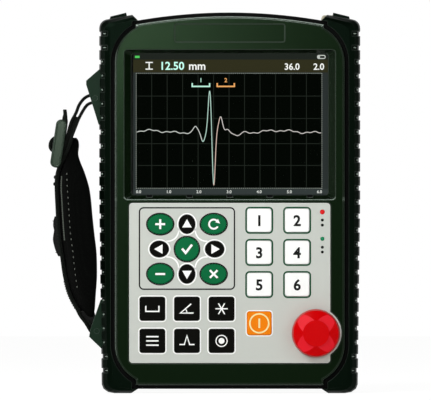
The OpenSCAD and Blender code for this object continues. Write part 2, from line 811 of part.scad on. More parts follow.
module window_gasket() {
  color("#101210")
    difference() {
      slab(y_face + window_depth, y_glass)
        polygon(moved(rounded(lens_w + 2 * glass_lap, lens_h + 2 * glass_lap, panel_r), 0, lens_z));
      slab(y_face, y_glass + 1)
        polygon(moved(rounded(lens_w + 0.6, lens_h + 0.6, panel_r), 0, lens_z));
    }
}

module display_window() {
  color("#9fb0b0", 0.35)
    slab(y_glass, y_glass + glass_t)
      polygon(moved(rounded(lens_w + 2 * glass_lap, lens_h + 2 * glass_lap, panel_r), 0, lens_z));
}

module lcd_module() {
  color("#050805")
    slab(y_lcd, y_lcd + lcd_t)
      polygon(moved(rounded(lens_w + 5, lens_h + 5, 1), 0, lens_z));
}

module main_board() {
  board_z0 = panel_z0 + 6;
  color("#1f6b3a")
    translate([-lens_w / 2 + 4, y_board, board_z0])
      cube([lens_w - 8, board_t, lens_z1 - 3 - board_z0]);
}

module buzzer() {
  color("#141414")
    bar(0, panel_z, 7, y_board + board_t, y_board + board_t + 5);
}

module keypad_panel() {
  color("#c4c8c1")
    difference() {
      panel_blank(0, y_panel_front, y_panel_back);
      for (k = keys)
        slab(y_panel_front - 1, y_panel_back + 1)
          polygon(key_outline(k, key_gap));
      bar(knob_x, knob_z, bushing_r + 0.1, y_panel_front - 1, y_panel_back + 1);
      bar(led_x, red_led_z, red_led_r + 0.1, y_panel_front - 1, y_panel_back + 1);
      bar(led_x, green_led_z, green_led_r + 0.1, y_panel_front - 1, y_panel_back + 1);
    }
}

// Cut-outs that the mat and the switch board share
module encoder_opening() {
  translate([knob_x - encoder_cut / 2, y_mat - 5, knob_z - encoder_cut / 2])
    cube([encoder_cut, 12, encoder_cut]);
}

// Silicone mat whose raised rim seals against the back of the face
module keypad_mat() {
  color("#d8d8d0")
    difference() {
      slab(y_face + wall, y_switches)
        polygon(moved(rounded(mat_w, mat_h, panel_r), 0, panel_z));
      slab(y_face, y_mat)
        polygon(moved(rounded(panel_w - 2 * ledge + 0.4, panel_h - 2 * ledge + 0.4, panel_r), 0, panel_z));
      encoder_opening();
      bar(led_x, red_led_z, red_led_r + 0.3, y_mat - 1, y_switches + 1);
      bar(led_x, green_led_z, green_led_r + 0.3, y_mat - 1, y_switches + 1);
    }
}

module key_switch_board() {
  color("#1f6b3a")
    difference() {
      slab(y_switches, y_switches_back)
        polygon(moved(rounded(mat_w, mat_h, panel_r), 0, panel_z));
      encoder_opening();
    }
}

module led(z, r) {
  y_tip = y_panel_front - led_proud;
  facing(led_x, y_switches, z)
    rotate_extrude($fn = 48)
      polygon(concat([[0, 0], [r, 0]],
        [for (t = [0:15:90]) [r * cos(t), y_switches - y_tip - led_proud * (1 - sin(t))]]));
}

module red_led() {
  color("#d30e11")
    led(red_led_z, red_led_r);
}

module green_led() {
  color("#308b61")
    led(green_led_z, green_led_r);
}

// Key cap with a beveled front edge and a flange that the panel holds
module key_cap(k) {
  y_top = y_panel_front - key_proud;
  bevel = min(0.5, key_proud / 2);
  color(k[6]) {
    loft([key_outline(k, -bevel), key_outline(k, 0), key_outline(k, 0)],
      [y_top, y_top + bevel, y_flange + flange_t / 2]);
    slab(y_flange, y_flange + flange_t)
      polygon(key_outline(k, flange_lap));
  }
}

module rotary_encoder() {
  color("#8b8f8c")
    difference() {
      union() {
        translate([knob_x - encoder_w / 2, y_panel_back, knob_z - encoder_w / 2])
          cube([encoder_w, encoder_d, encoder_w]);
        bar(knob_x, knob_z, bushing_r, y_panel_front - bushing_out, y_panel_back + eps);
      }
      bar(knob_x, knob_z, shaft_r + fit, y_panel_front - bushing_out - 1, y_panel_back + encoder_d - 1.2);
    }
}

module encoder_nut() {
  color("#b9bcb8")
    difference() {
      facing(knob_x, y_panel_front, knob_z)
        cylinder(r = bushing_r + 2, h = nut_t, $fn = 6);
      bar(knob_x, knob_z, bushing_r + fit, y_panel_front - nut_t - 1, y_panel_front + 1);
    }
}

y_shaft = y_knob - knob_h + 2.6;

module encoder_shaft() {
  color("#a7aaa6")
    bar(knob_x, knob_z, shaft_r, y_shaft, y_panel_back + encoder_d - 1.5);
}

// Turned knob with a flat centre and four flat facets on its diagonals
module control_knob() {
  r = knob_d / 2;
  flat_r = knob_flat_d / 2;
  rim_h = knob_h - 3.3;
  flat_h = knob_h - 0.3;
  cut_start = 0.806 * flat_r;
  hollow_r = bushing_r + 3.2;
  color("#d00107")
    facing(knob_x, y_knob, knob_z)
      difference() {
        union() {
          difference() {
            rotate_extrude($fn = 96)
              polygon([[0, 0], [r, 0], [r, 0.6], [r - 0.8, rim_h - 0.6], [r - 1.2, rim_h], [flat_r, flat_h],
                [0, flat_h]]);
            for (a = [45:90:315])
              rotate([0, 0, a])
                translate([cut_start, 0, flat_h])
                  rotate([0, facet_tilt, 0])
                    translate([0, -r, 0])
                      cube([2 * r, 2 * r, knob_h]);
          }
          cylinder(r = flat_r, h = knob_h, $fn = 96);
        }
        translate([0, 0, -1])
          cylinder(r = shaft_r + fit, h = y_knob - y_shaft + 1 + fit, $fn = 48);
        translate([0, 0, -1])
          cylinder(r = hollow_r, h = 1 + bushing_out + 0.4, $fn = 48);
      }
}

module battery_pack() {
  color("#1f3d6b")
    slab(y_battery, y_battery_back)
      polygon(moved(rounded(battery_w, battery_h, 3), 0, door_z));
}

module battery_door() {
  color("#1c2c1c")
    difference() {
      slab(y_back - door_t, y_back)
        polygon(moved(rounded(door_w, door_h, 4), 0, door_z));
      for (side = [-1, 1]) {
        bar(side * door_screw_x, door_z, door_screw_r + fit, y_back - door_t - 1, y_back + 1);
        bar(side * door_screw_x, door_z, door_screw_head_r + 0.2, y_back - door_screw_head_t, y_back + 1);
      }
      for (i = [-3:3])
        translate([-12, y_back - 0.6, door_z0 + 8 + i * 1.8])
          cube([24, 1, 0.9]);
    }
}

// Round-headed screw with a slot, its head at depth y, its point towards the front
module screw(x, z, y, head_r, head_t, r, l) {
  difference() {
    union() {
      bar(x, z, head_r, y - head_t, y);
      bar(x, z, r, y - l, y - head_t + eps);
    }
    translate([x - head_r - 1, y - 0.7, z - 0.4])
      cube([2 * head_r + 2, 1, 0.8]);
  }
}

module battery_door_screws() {
  color("#8b8f8c")
    for (side = [-1, 1])
      screw(side * door_screw_x, door_z, y_back, door_screw_head_r, door_screw_head_t, door_screw_r,
        back_pad_t);
}

module housing_screws() {
  y_head = y_back - screw_sink + screw_head_t;
  color("#3a3d3a")
    for (p = screw_places, side = [-1, 1])
      screw(side * p[0], p[1], y_head, screw_head_r, screw_head_t, screw_r, y_head - y_part + screw_bite);
}

// Flat stand that swings out on two stub pins, with a thumb notch at its free end
module tilt_stand() {
  hollow_side = 8;
  hollow_low = 21;
  hollow_top = 13;
  hollow_h = stand_l - hollow_low - hollow_top;
  hollow_z = stand_z0 + hollow_low + hollow_h / 2;
  color("#20261f")
    difference() {
      union() {
        slab(y_back - stand_t, y_back)
          polygon(moved(rounded(stand_w, stand_l, 4), 0, stand_z0 + stand_l / 2));
        translate([-stand_w / 2, stand_axis_y, stand_axis_z])
          rotate([0, 90, 0])
            cylinder(r = stand_t / 2, h = stand_w, $fn = 48);
        translate([-stand_w / 2, y_back - stand_t, stand_axis_z - 6])
          cube([stand_w, stand_t, 6]);
      }
      bar(0, stand_z0, stand_catch_r, y_back - stand_t - 1, y_back + 1);
      slab(y_back - 1, y_back + 1)
        polygon(moved(rounded(stand_w - 2 * hollow_side, hollow_h, 5), 0, hollow_z));
      for (side = [-1, 1])
        translate([side * (stand_w / 2 - stand_pin_in - 0.3), stand_axis_y, stand_axis_z])
          rotate([0, side * 90, 0])
            cylinder(r = stand_pin_r + fit, h = stand_pin_in + 1.3, $fn = 32);
    }
}

module stand_pins() {
  color("#8b8f8c")
    for (side = [-1, 1])
      translate([side * (stand_w / 2 - stand_pin_in), stand_axis_y, stand_axis_z])
        rotate([0, side * 90, 0])
          cylinder(r = stand_pin_r, h = stand_pin_l, $fn = 32);
}

// Socket barrel with a blind bore that opens upwards
socket_mouth = rim_z1 - 2.2;
socket_nut_top = rim_z1 - 1.3;
socket_root = shoulder_z0 + 4;

module probe_socket(y) {
  color("#b5a878")
    translate([socket_x, y, 0])
      difference() {
        translate([0, 0, socket_root])
          cylinder(r = socket_r, h = socket_mouth - socket_root, $fn = 64);
        translate([0, 0, socket_mouth - socket_bore_l])
          cylinder(r = socket_bore_r, h = socket_bore_l + 1, $fn = 64);
      }
}

module front_probe_socket() {
  probe_socket(socket_y[0]);
}

module rear_probe_socket() {
  probe_socket(socket_y[1]);
}

module socket_nuts() {
  nut_h = socket_nut_top - shoulder_top;
  turn = min(nut_h - 1, socket_nut_r - socket_r - 0.3);
  color("#b9b59c")
    for (y = socket_y)
      translate([socket_x, y, shoulder_top])
        rotate_extrude($fn = 64)
          polygon(concat([[socket_r + fit, 0], [socket_nut_r, 0]],
            [for (t = [0:15:90])
              [socket_nut_r - turn * (1 - cos(t)), nut_h - 2 * turn * (1 - sin(t))]],
            [[socket_r + fit, nut_h]]));
}

// Charging port in the left shoulder, under a rubber cover
port_l = 14;
port_w = 8;
port_deep = 9;
port_wall = 2;
port_x = -(peak_x + shoulder_x1) / 2;
port_y = (y_part + y_back) / 2;

module charging_port_box(d) {
  translate([port_x - port_w / 2 - d, port_y - port_l / 2 - d, shoulder_top - port_deep])
    cube([port_w + 2 * d, port_l + 2 * d, port_deep + (d > 0 ? 1 : 0)]);
}

module charging_port() {
  color("#2a2a2a")
    difference() {
      charging_port_box(0);
      translate([port_x - port_w / 2 + port_wall, port_y - port_l / 2 + port_wall,
        shoulder_top - port_deep + port_wall])
        cube([port_w - 2 * port_wall, port_l - 2 * port_wall, port_deep]);
    }
}

module port_cover() {
  cover_t = 1.6;
  plug = 3;
  color("#101210") {
    translate([-shoulder_x1 + slip, port_y - port_l / 2 - 4, shoulder_top])
      cube([shoulder_x1 - peak_x - 2 * slip, port_l + 6, cover_t]);
    translate([port_x - port_w / 2 + port_wall + fit, port_y - port_l / 2 + port_wall + fit,
      shoulder_top - plug])
      cube([port_w - 2 * port_wall - 2 * fit, port_l - 2 * port_wall - 2 * fit, plug + eps]);
  }
}

// Lug: two cheeks on a foot that is let into the grip, with a hole for the bar
module lug(cheek, pin, z0, z1) {
  foot_out = side_x(pin[1]) - lug_sink;
  color("#23382b")
    difference() {
      union() {
        for (side = [-1, 1])
          translate([0, side > 0 ? lug_half - cheek_t : -lug_half, 0])
            slab(0, cheek_t)
              polygon(concat(cheek, [[-foot_out + lug_depth, z0], [-foot_out + lug_depth, z1]]));
        translate([-foot_out, -lug_half, z0])
          cube([lug_depth, 2 * lug_half, z1 - z0]);
      }
      bar(pin[0], pin[1], lug_pin_r + fit, -lug_half - 1, lug_half + 1);
    }
}

module top_lug() {
  z0 = top_lug_z[0];
  z1 = top_lug_z[1];
  lug([[-side_x(z1), z1], [-grip_x - lug_out, top_pin_z + lug_long - lug_out + 1],
    [-grip_x - lug_out, top_pin_z + lug_long - lug_out + 1 - lug_nose], [-side_x(z0) - 0.4, z0]],
    top_pin, z0, z1);
}

module bottom_lug() {
  z0 = low_lug_z[0];
  z1 = low_lug_z[1];
  low_out = lug_out - 1.8;
  lug([[-side_x(z1), z1], [-grip_x - low_out + 0.7, z0 + low_lug_short + 0.7],
    [-grip_x - low_out, z0 + low_out + 0.9], [-side_x(z0), z0]],
    low_pin, z0, z1);
}

module lug_pins() {
  color("#8b8f8c")
    for (pin = [top_pin, low_pin])
      bar(pin[0], pin[1], lug_pin_r, -lug_half, lug_half);
}

module strap_pad() {
  rings = [for (s = pad_stations) pad_ring(s)];
  n = len(rings[0]);
  last = len(rings) - 1;
  points = [for (ring = rings) each ring];
  sides = [for (i = [0:last - 1]) for (j = [0:n - 1])
    let (a = i * n + j, b = i * n + (j + 1) % n)
    each [[a, b, b + n], [a, b + n, a + n]]];
  strip = [for (j = [0:pad_steps - 1])
    let (k = n - 1 - j)
    each [[j, k, j + 1], [j + 1, k, k - 1]]];
  top = [for (f = strip) [f[2] + last * n, f[1] + last * n, f[0] + last * n]];
  color("#1d1f1b")
    polyhedron(points, concat(strip, top, sides));
}

module strap_webbing() {
  color("#20221e")
    slab(-webbing_w / 2, webbing_w / 2)
      polygon(band(webbing_route, webbing_t));
}

module strap_tab() {
  color("#2b2d28")
    slab(-tab_w / 2, tab_w / 2)
      polygon(concat(tab_outer, tab_inner));
}

// Slide buckle: two rails and three bars that the webbing weaves through
module strap_buckle() {
  rail = 3;
  half = webbing_w / 2 + 0.6;
  color("#253623")
    translate([buckle_top[0], 0, buckle_top[1]])
      rotate([0, buckle_tilt, 0]) {
        for (side = [-1, 1])
          translate([0, side > 0 ? half : -half - rail, 0])
            slab(0, rail)
              polygon(moved(rounded(buckle_t, buckle_l, buckle_r), 0, -buckle_l / 2));
        for (s = [0, (buckle_l - buckle_bar) / 2, buckle_l - buckle_bar])
          slab(-half - eps, half + eps)
            polygon(moved(rounded(buckle_bar_t, buckle_bar, 1), 0, -s - buckle_bar / 2));
      }
}

front_housing();
seal_frame();
rear_housing();
left_grip();
right_grip();
window_gasket();
display_window();
lcd_module();
main_board();
buzzer();
keypad_panel();
keypad_mat();
key_switch_board();
red_led();
green_led();
rotary_encoder();
encoder_nut();
encoder_shaft();
control_knob();
battery_pack();
battery_door();
battery_door_screws();
housing_screws();
tilt_stand();
stand_pins();
front_probe_socket();
rear_probe_socket();
socket_nuts();
charging_port();
port_cover();
top_lug();
bottom_lug();
lug_pins();
strap_pad();
strap_webbing();
strap_tab();
strap_buckle();
for (k = keys)
  key_cap(k);
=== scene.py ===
"""Looks of a hand-held ultrasonic thickness gauge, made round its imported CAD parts.

Metres, +Z up, the face towards -Y, the feet of the grips at z = 0. Sizes below are in millimetres
and become metres where a mesh is made.
"""

import bmesh
import bpy
import numpy as np
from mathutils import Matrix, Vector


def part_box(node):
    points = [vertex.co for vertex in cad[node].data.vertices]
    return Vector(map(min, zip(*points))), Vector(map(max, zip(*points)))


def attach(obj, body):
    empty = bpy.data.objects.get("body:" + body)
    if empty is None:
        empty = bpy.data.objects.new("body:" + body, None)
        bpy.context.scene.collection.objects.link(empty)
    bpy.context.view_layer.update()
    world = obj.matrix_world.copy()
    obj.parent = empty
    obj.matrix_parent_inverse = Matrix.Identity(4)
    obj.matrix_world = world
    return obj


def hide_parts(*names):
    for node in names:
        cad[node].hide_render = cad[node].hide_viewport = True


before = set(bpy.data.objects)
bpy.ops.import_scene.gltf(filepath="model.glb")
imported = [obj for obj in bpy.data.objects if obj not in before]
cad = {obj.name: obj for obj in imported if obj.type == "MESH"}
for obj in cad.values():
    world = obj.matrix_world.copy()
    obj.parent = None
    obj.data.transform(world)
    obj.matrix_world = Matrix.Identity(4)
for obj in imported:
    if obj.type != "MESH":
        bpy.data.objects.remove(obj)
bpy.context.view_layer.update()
scene = bpy.context.scene


# Camera: a long lens straight in front of the face, as in the photograph. The housing's middle plane and
# its feet are at known pixels there, and one pixel is 0.61 mm at the face.
def show(name, data):
    """A new object in the scene."""
    thing = bpy.data.objects.new(name, data)
    scene.collection.objects.link(thing)
    return thing


MM = 0.001
photo_w, photo_h = 431, 400
pixel = 0.61
middle_px, feet_px = 229.75, 393.5
camera_reach = 6000
face_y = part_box("front_housing")[0].y / MM
lens = bpy.data.cameras.new("camera")
lens.lens = lens.sensor_width * camera_reach / (photo_w * pixel)
lens.clip_end = 20
camera = show("camera", lens)
camera.location = (
    (photo_w / 2 - middle_px) * pixel * MM,
    (face_y - camera_reach) * MM,
    (feet_px - photo_h / 2) * pixel * MM,
)
camera.rotation_euler = (np.pi / 2, 0, 0)
scene.camera = camera
scene.view_settings.view_transform = "Standard"


# Studio: a pale floor under the feet and a white sweep behind. A soft lamp high on the left, a weaker one on
# the right, a small one in front for a sheen on the face, and one level on the left for the edges. In gloss
# the room is white behind the object and dim in front, where the camera stands in the dark.
def linear(colour):
    """Linear red, green, blue and alpha of an sRGB hex colour: the sRGB curve undone."""
    c = np.array([int(colour[i : i + 2], 16) for i in (1, 3, 5)]) / 255
    c = np.where(c <= 0.04045, c / 12.92, ((c + 0.055) / 1.055) ** 2.4)
    return (*c.tolist(), 1.0)


def add(tree, kind, inputs=(), take=0, **settings):
    """One output of a new shader node with its settings, or all of them where take is None. A socket among
    the inputs is linked, anything else is a value."""
    made = tree.nodes.new("ShaderNode" + kind)
    for name, value in settings.items():
        setattr(made, name, value)
    for name, value in dict(inputs).items():
        if isinstance(value, bpy.types.NodeSocket):
            tree.links.new(value, made.inputs[name])
        else:
            made.inputs[name].default_value = value
    return made.outputs if take is None else made.outputs[take]


def either(tree, first, *others):
    """The largest of several sockets, such as kinds of ray that are 0 or 1."""
    for other in others:
        first = add(tree, "Math", {0: first, 1: other}, operation="MAXIMUM")
    return first


def finish(name):
    """A new material, its cleared node tree and its object coordinates."""
    made = bpy.data.materials.new(name)
    made.use_nodes = True
    tree = made.node_tree
    tree.nodes.clear()
    return made, tree, add(tree, "TexCoord", take="Object")


room_light = 0.27
room_front = 0.04
room = bpy.data.worlds.new("white_room")
scene.world = room
room.use_nodes = True
air = room.node_tree
air.nodes.clear()
ray = add(air, "LightPath", take=None)
heading = add(air, "SeparateXYZ", {0: add(air, "TexCoord", take="Generated")}, "Y")
behind = {"Value": heading, "From Min": -0.1, "From Max": 0.5, "To Min": room_front, "To Max": 1.0}
glossy = either(air, ray["Is Glossy Ray"], ray["Is Transmission Ray"])
in_gloss = add(air, "Mix", {"Factor": glossy, "A": room_light, "B": add(air, "MapRange", behind)})
to_the_eye = add(air, "Mix", {"Factor": ray["Is Camera Ray"], "A": in_gloss, "B": 1.0})
shine = add(air, "Background", {"Color": linear("#ffffff"), "Strength": to_the_eye})
add(air, "OutputWorld", {"Surface": shine}, None)

floor_half = 2.5
foot_gap = 0.1 * MM
floor_shade = 0.22
floor_glow = 1.18
floor_mesh = bpy.data.meshes.new("floor")
corners = np.array([(-1, -1, 0), (1, -1, 0), (1, 1, 0), (-1, 1, 0)]) * floor_half - (0, 0, foot_gap)
floor_mesh.from_pydata(corners.tolist(), [], [(0, 1, 2, 3)])
floor = show("floor", floor_mesh)
paper, sheet, _ = finish("white_paper_sweep")
ray = add(sheet, "LightPath", take=None)
matt = add(sheet, "BsdfDiffuse", {"Color": linear("#f4f4f2")})
lit = add(sheet, "Emission", {"Color": linear("#ffffff"), "Strength": floor_glow})
seen = either(sheet, ray["Is Camera Ray"], ray["Is Glossy Ray"], ray["Is Transmission Ray"])
share = add(sheet, "MapRange", {"Value": seen, "To Min": 0.0, "To Max": 1 - floor_shade})
mixed = add(sheet, "MixShader", {0: share, 1: matt, 2: lit})
add(sheet, "OutputMaterial", {"Surface": mixed}, None)
floor_mesh.materials.append(paper)

for name, place, size, watts in (
    ("key_lamp", (-0.5, -0.9, 0.8), 0.5, 7.5),
    ("fill_lamp", (1.2, -1.4, 0.7), 1.0, 5.0),
    ("sheen_lamp", (-0.085, -1.0, 0.26), 0.04, 1.5),
    ("side_lamp", (-1.0, -0.16, 0.3), 0.4, 1.2),
):
    lamp = bpy.data.lights.new(name, "AREA")
    lamp.size = size
    lamp.energy = watts
    holder = show(name, lamp)
    holder.location = place
    aim = np.array((0, 0, 0.12)) - np.array(place)
    holder.rotation_euler = (
        np.arctan2(np.hypot(aim[0], aim[1]), -aim[2]),
        0,
        np.arctan2(aim[1], aim[0]) - np.pi / 2,
    )


# Shells: the front and rear housing and the battery door, moulded in green ABS with a fine spark-eroded
# grain that breaks up the gloss. Their edges are painted paler as a painted highlight, most on the top and
# left rim.
def coated(made, inputs):
    """The material with its surface, one Principled shader with the given inputs."""
    skin = add(made.node_tree, "BsdfPrincipled", inputs)
    add(made.node_tree, "OutputMaterial", {"Surface": skin}, None)
    return made


def toned(tree, level, colour, low, high):
    """A colour that runs between two shares of itself as the level goes from 0 to 1."""
    tone = np.array(linear(colour)[:3])
    ends = {side: (*np.minimum(share * tone, 1), 1) for side, share in (("A", low), ("B", high))}
    return add(tree, "Mix", {"Factor": level, **ends}, "Result", data_type="RGBA")


def moulded(
    name, colour, rough, grain, depth, gloss=0.5, drift=0.08, edge=0.3, edge_highlight=None, full=0.8, pale="#9fb0a4",
    sheen="#ffffff", recoloured=None,
):
    """Moulded plastic or rubber: a grain of the given size and depth in mm as bump and as roughness, a slow
    drift of the colour over about 40 mm, and edges rounded by the given radius in mm. There the turn of the
    rounded normal away from the flat one mixes in the paler colour, a painted highlight on the edges: fully
    where its cosine falls to the given one, up to a share that is a number or is worked out from the place.
    The gloss may have a tint, and a given function may change the colour, as it paints the highlight on the
    knob's flats."""
    made, tree, place = finish(name)
    cloud = add(tree, "TexNoise", {"Vector": place, "Scale": 1 / (40 * MM), "Detail": 2.0})
    tint = toned(tree, cloud, colour, 1 - drift, 1 + drift)
    rounded = add(tree, "Bevel", {"Radius": edge * MM}, samples=6)
    if edge_highlight is not None:
        flat = add(tree, "NewGeometry", take="Normal")
        turn = add(tree, "VectorMath", {0: rounded, 1: flat}, "Value", operation="DOT_PRODUCT")
        highlight_range = {
            "Value": turn,
            "From Min": 0.95 + 0.05 * full,
            "From Max": full,
            "To Max": edge_highlight(tree, place) if callable(edge_highlight) else edge_highlight,
        }
        paler = {"Factor": add(tree, "MapRange", highlight_range), "A": tint, "B": linear(pale)}
        tint = add(tree, "Mix", paler, "Result", data_type="RGBA")
    if recoloured is not None:
        tint = recoloured(tree, place, tint)
    pits = add(tree, "TexNoise", {"Vector": place, "Scale": 1 / (grain * MM), "Detail": 3.0})
    rub = add(tree, "MapRange", {"Value": pits, "To Min": rough - 0.06, "To Max": rough + 0.06})
    bumps = {"Height": pits, "Distance": depth * MM, "Strength": 0.6, "Normal": rounded}
    return coated(made, {
        "Base Color": tint,
        "Roughness": rub,
        "Normal": add(tree, "Bump", bumps),
        "Specular IOR Level": gloss,
        "Specular Tint": linear(sheen),
    })


def dress(made, *names):
    """Gives CAD nodes their finish."""
    for name in names:
        cad[name].data.materials.clear()
        cad[name].data.materials.append(made)


def rim_highlight(tree, place):
    """Share of the painted highlight on the shells' edges: most on the top and left rim, which is the side to
    the left of x = -74 mm and the arch z + x * x / 700 mm above 229 mm, half of that on the ledge under the
    screen, and little on the other edges."""
    arch_r, ledge_z = 700, 118.6
    little, half, most = 0.08, 0.5, 0.95
    x, _, z = add(tree, "SeparateXYZ", {0: place}, None)
    square = add(tree, "Math", {0: x, 1: x}, operation="MULTIPLY")
    arch = add(tree, "Math", {0: square, 1: 1 / (arch_r * MM), 2: z}, operation="MULTIPLY_ADD")
    above = add(tree, "Math", {0: z, 1: ledge_z * MM}, operation="SUBTRACT")
    off_ledge = add(tree, "Math", {0: above}, operation="ABSOLUTE")
    shares = []
    for reach, start, stop, share in (
        (arch, 227.8, 229.2, most), (x, -68, -74, most), (off_ledge, 1.6, 0.8, half)
    ):
        limits = {"From Min": start * MM, "From Max": stop * MM, "To Min": little, "To Max": share}
        shares.append(add(tree, "MapRange", {"Value": reach, **limits}))
    return either(tree, *shares)


housing_abs = moulded(
    "green_abs_fine_grain", "#061205", 0.25, 0.7, 0.03, gloss=0.09, edge=0.9, edge_highlight=rim_highlight, full=0.95,
    pale="#cfe0d4", sheen="#b4f0b4"
)
dress(housing_abs, "front_housing", "rear_housing", "battery_door")

# Seals: the moulded frame in the groove round the face, the gasket under the window and the cover of the
# charging port, all in black rubber with a dull skin.
seal_rubber = moulded("black_seal_rubber", "#030403", 0.55, 0.8, 0.04, gloss=0.06)
dress(seal_rubber, "seal_frame", "window_gasket", "port_cover")

# Grips: soft dark green rubber moulded over both sides of the housing. Its skin is matt, and the lips of the
# side grooves and the corners are painted paler as a painted highlight.
grip_rubber = moulded(
    "dark_green_grip_rubber", "#020703", 0.38, 0.9, 0.05, gloss=0.05, edge=0.8, edge_highlight=0.16, pale="#7f8d83",
    sheen="#b4f0c8"
)
dress(grip_rubber, "left_grip", "right_grip")


def piece(name, points, faces, made, body):
    """A new mesh from points in mm and faces, with its finish, on a body and with a material slot."""
    mesh = bpy.data.meshes.new(name)
    mesh.from_pydata((np.asarray(points) * MM).tolist(), [], faces)
    mesh.materials.append(made)
    thing = show(name, mesh)
    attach(thing, body)
    return thing


def skin_faces(rows, columns):
    """Quads of a grid of rows that close on themselves, with a face over each end."""
    i, j = np.meshgrid(np.arange(rows - 1), np.arange(columns), indexing="ij")
    a, b = (i * columns + j).ravel(), (i * columns + (j + 1) % columns).ravel()
    ends = [np.arange(columns)[::-1].tolist(), (np.arange(columns) + (rows - 1) * columns).tolist()]
    return np.column_stack((a, b, b + columns, a + columns)).tolist() + ends


def shade(thing, crease):
    """Turns a closed mesh's faces outwards and shades it smooth up to a crease angle in degrees."""
    form = bmesh.new()
    form.from_mesh(thing.data)
    bmesh.ops.recalc_face_normals(form, faces=form.faces)
    form.to_mesh(thing.data)
    form.free()
    thing.data.polygons.foreach_set("use_smooth", np.ones(len(thing.data.polygons), bool))
    thing.data.set_sharp_from_angle(angle=np.radians(crease))


def beads(name, spots, along, out, long, wide, made):
    """A row of small rounded beads: one ellipsoid on a grid of 8 by 6, set at each spot with its length
    along a seam or groove and its height out of it."""
    around, over = np.meshgrid(np.radians(np.arange(0, 360, 45)), np.radians(np.linspace(-80, 80, 6)))
    ball = np.stack((np.sin(over), np.cos(over) * np.cos(around), np.cos(over) * np.sin(around)), axis=-1)
    ball = ball.reshape(-1, 3) * (long / 2, wide / 2, wide / 2)
    frames = np.stack((along, np.cross(along, out), out), axis=1)
    points = spots[:, None, :] + np.einsum("vk,nkd->nvd", ball, frames)
    one = skin_faces(6, 8)
    steps = len(ball) * np.arange(len(spots))[:, None, None]
    sides = (np.array(one[:-2])[None] + steps).reshape(-1, 4).tolist()
    ends = (np.array(one[-2:])[None] + steps).reshape(-1, 8).tolist()
    shade(piece(name, points.reshape(-1, 3), sides + ends, made, "housing"), 60)


# Pips on the grips: a low dome moulded on the floor of each side groove where it comes round to the front,
# longer in the two top and two bottom grooves. They are coloured pale as painted glints, and show as dots.
glint_pip_rubber = moulded("pale_grip_glint_rubber", "#87948a", 0.3, 0.4, 0.005, gloss=0.3, edge=0.05)
groove_pitch, groove_count, first_groove = 8.57, 25, 10.6
groove_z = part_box("front_housing")[1].z / MM - first_groove - groove_pitch * np.arange(groove_count)
grip_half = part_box("right_grip")[1].x / MM
taper, taper_top, taper_span = 1.5, 118, 112.5
flank_x = grip_half - taper * np.clip((taper_top - groove_z) / taper_span, 0, 1)
groove_front = -18.95
lean_x, lean_y = 0.68, 0.73
at_end = np.isin(np.arange(groove_count), (0, 1, groove_count - 2, groove_count - 1))
for side, label in ((-1, "left"), (1, "right")):
    for kind, rows, inset, behind, long, wide in (
        ("dots", ~at_end, 1.9, 0.0, 1.3, 1.3), ("dashes", at_end, 3.3, -1.5, 2.6, 0.8)
    ):
        count = rows.sum()
        places = (side * (flank_x[rows] - inset), np.full(count, groove_front + behind), groove_z[rows])
        along = np.tile((lean_x * side, lean_y, 0.0), (count, 1))
        out = np.tile((lean_y * side, -lean_x, 0.0), (count, 1))
        name = f"{label}_pip_{kind}"
        beads(name, np.column_stack(places), along, out, long, wide, glint_pip_rubber)

# Works inside the housing: solder-masked boards, a battery in blue shrink film, the silicone mat that carries
# the keys, and black ABS cases with a fine grain. The tilt stand and the charging port are of it too.
dress(moulded("green_solder_mask", "#1f6b3a", 0.35, 0.8, 0.01), "main_board", "key_switch_board")
dress(moulded("blue_shrink_film", "#1f3d6b", 0.3, 1.0, 0.01), "battery_pack")
# The black ABS has a painted highlight along its edges.
black_abs = moulded("black_abs", "#0c0e0b", 0.4, 0.7, 0.04, gloss=0.2, edge_highlight=0.15)
dress(black_abs, "tilt_stand", "charging_port", "buzzer", "lcd_module")
dress(moulded("pale_silicone", "#d8d8d0", 0.6, 0.8, 0.02), "keypad_mat")


# Screen: a colour LCD behind a clear acrylic window. Its picture is drawn in dots of 0.37 mm, on thin layers
# that glow by themselves: bars, a plot with a grid, two gates, an echo and a few figures. The window has an
# anti-reflection coat and a few faint smudges.
def film(name, shapes, y, made, body):
    """A flat layer of ink or light at depth y. A shape is a list of lines in x and z with a mark that says
    whether they close: one line is filled, and two lines of equal length hold a strip between them."""
    points, faces, base = [], [], 0
    for lines, closed in shapes:
        n = len(lines[0])
        points += [np.column_stack((line[:, 0], np.full(n, y), line[:, 1])) for line in lines]
        i = np.arange(n if closed else n - 1)
        j = (i + 1) % n
        if len(lines) == 1:
            faces.append((base + i).tolist())
        else:
            faces += np.column_stack((base + i, base + j, base + n + j, base + n + i)).tolist()
        base += n * len(lines)
    piece(name, np.concatenate(points), faces, made, body)


def plate(x0, x1, z0, z1):
    """A filled rectangle."""
    return [np.array([(x0, z0), (x1, z0), (x1, z1), (x0, z1)], float)], True


def unit(vectors):
    """Vectors scaled to length 1."""
    return vectors / np.linalg.norm(vectors, axis=-1, keepdims=True)


def stroke(points, width):
    """A mitred line of the given width along points. Each point moves to both sides, square to the mean m of
    the unit directions that meet there, by width / 2 over the cosine between m and either of them."""
    points = np.asarray(points, float)
    runs = unit(np.diff(points, axis=0))
    after = np.vstack((runs, runs[-1:]))
    mean = unit(np.vstack((runs[:1], runs)) + after)
    sharpest = 0.5
    cosine = np.maximum((mean * after).sum(axis=1, keepdims=True), sharpest)
    side = np.column_stack((-mean[:, 1], mean[:, 0])) * width / 2 / cosine
    return [points - side, points + side], False


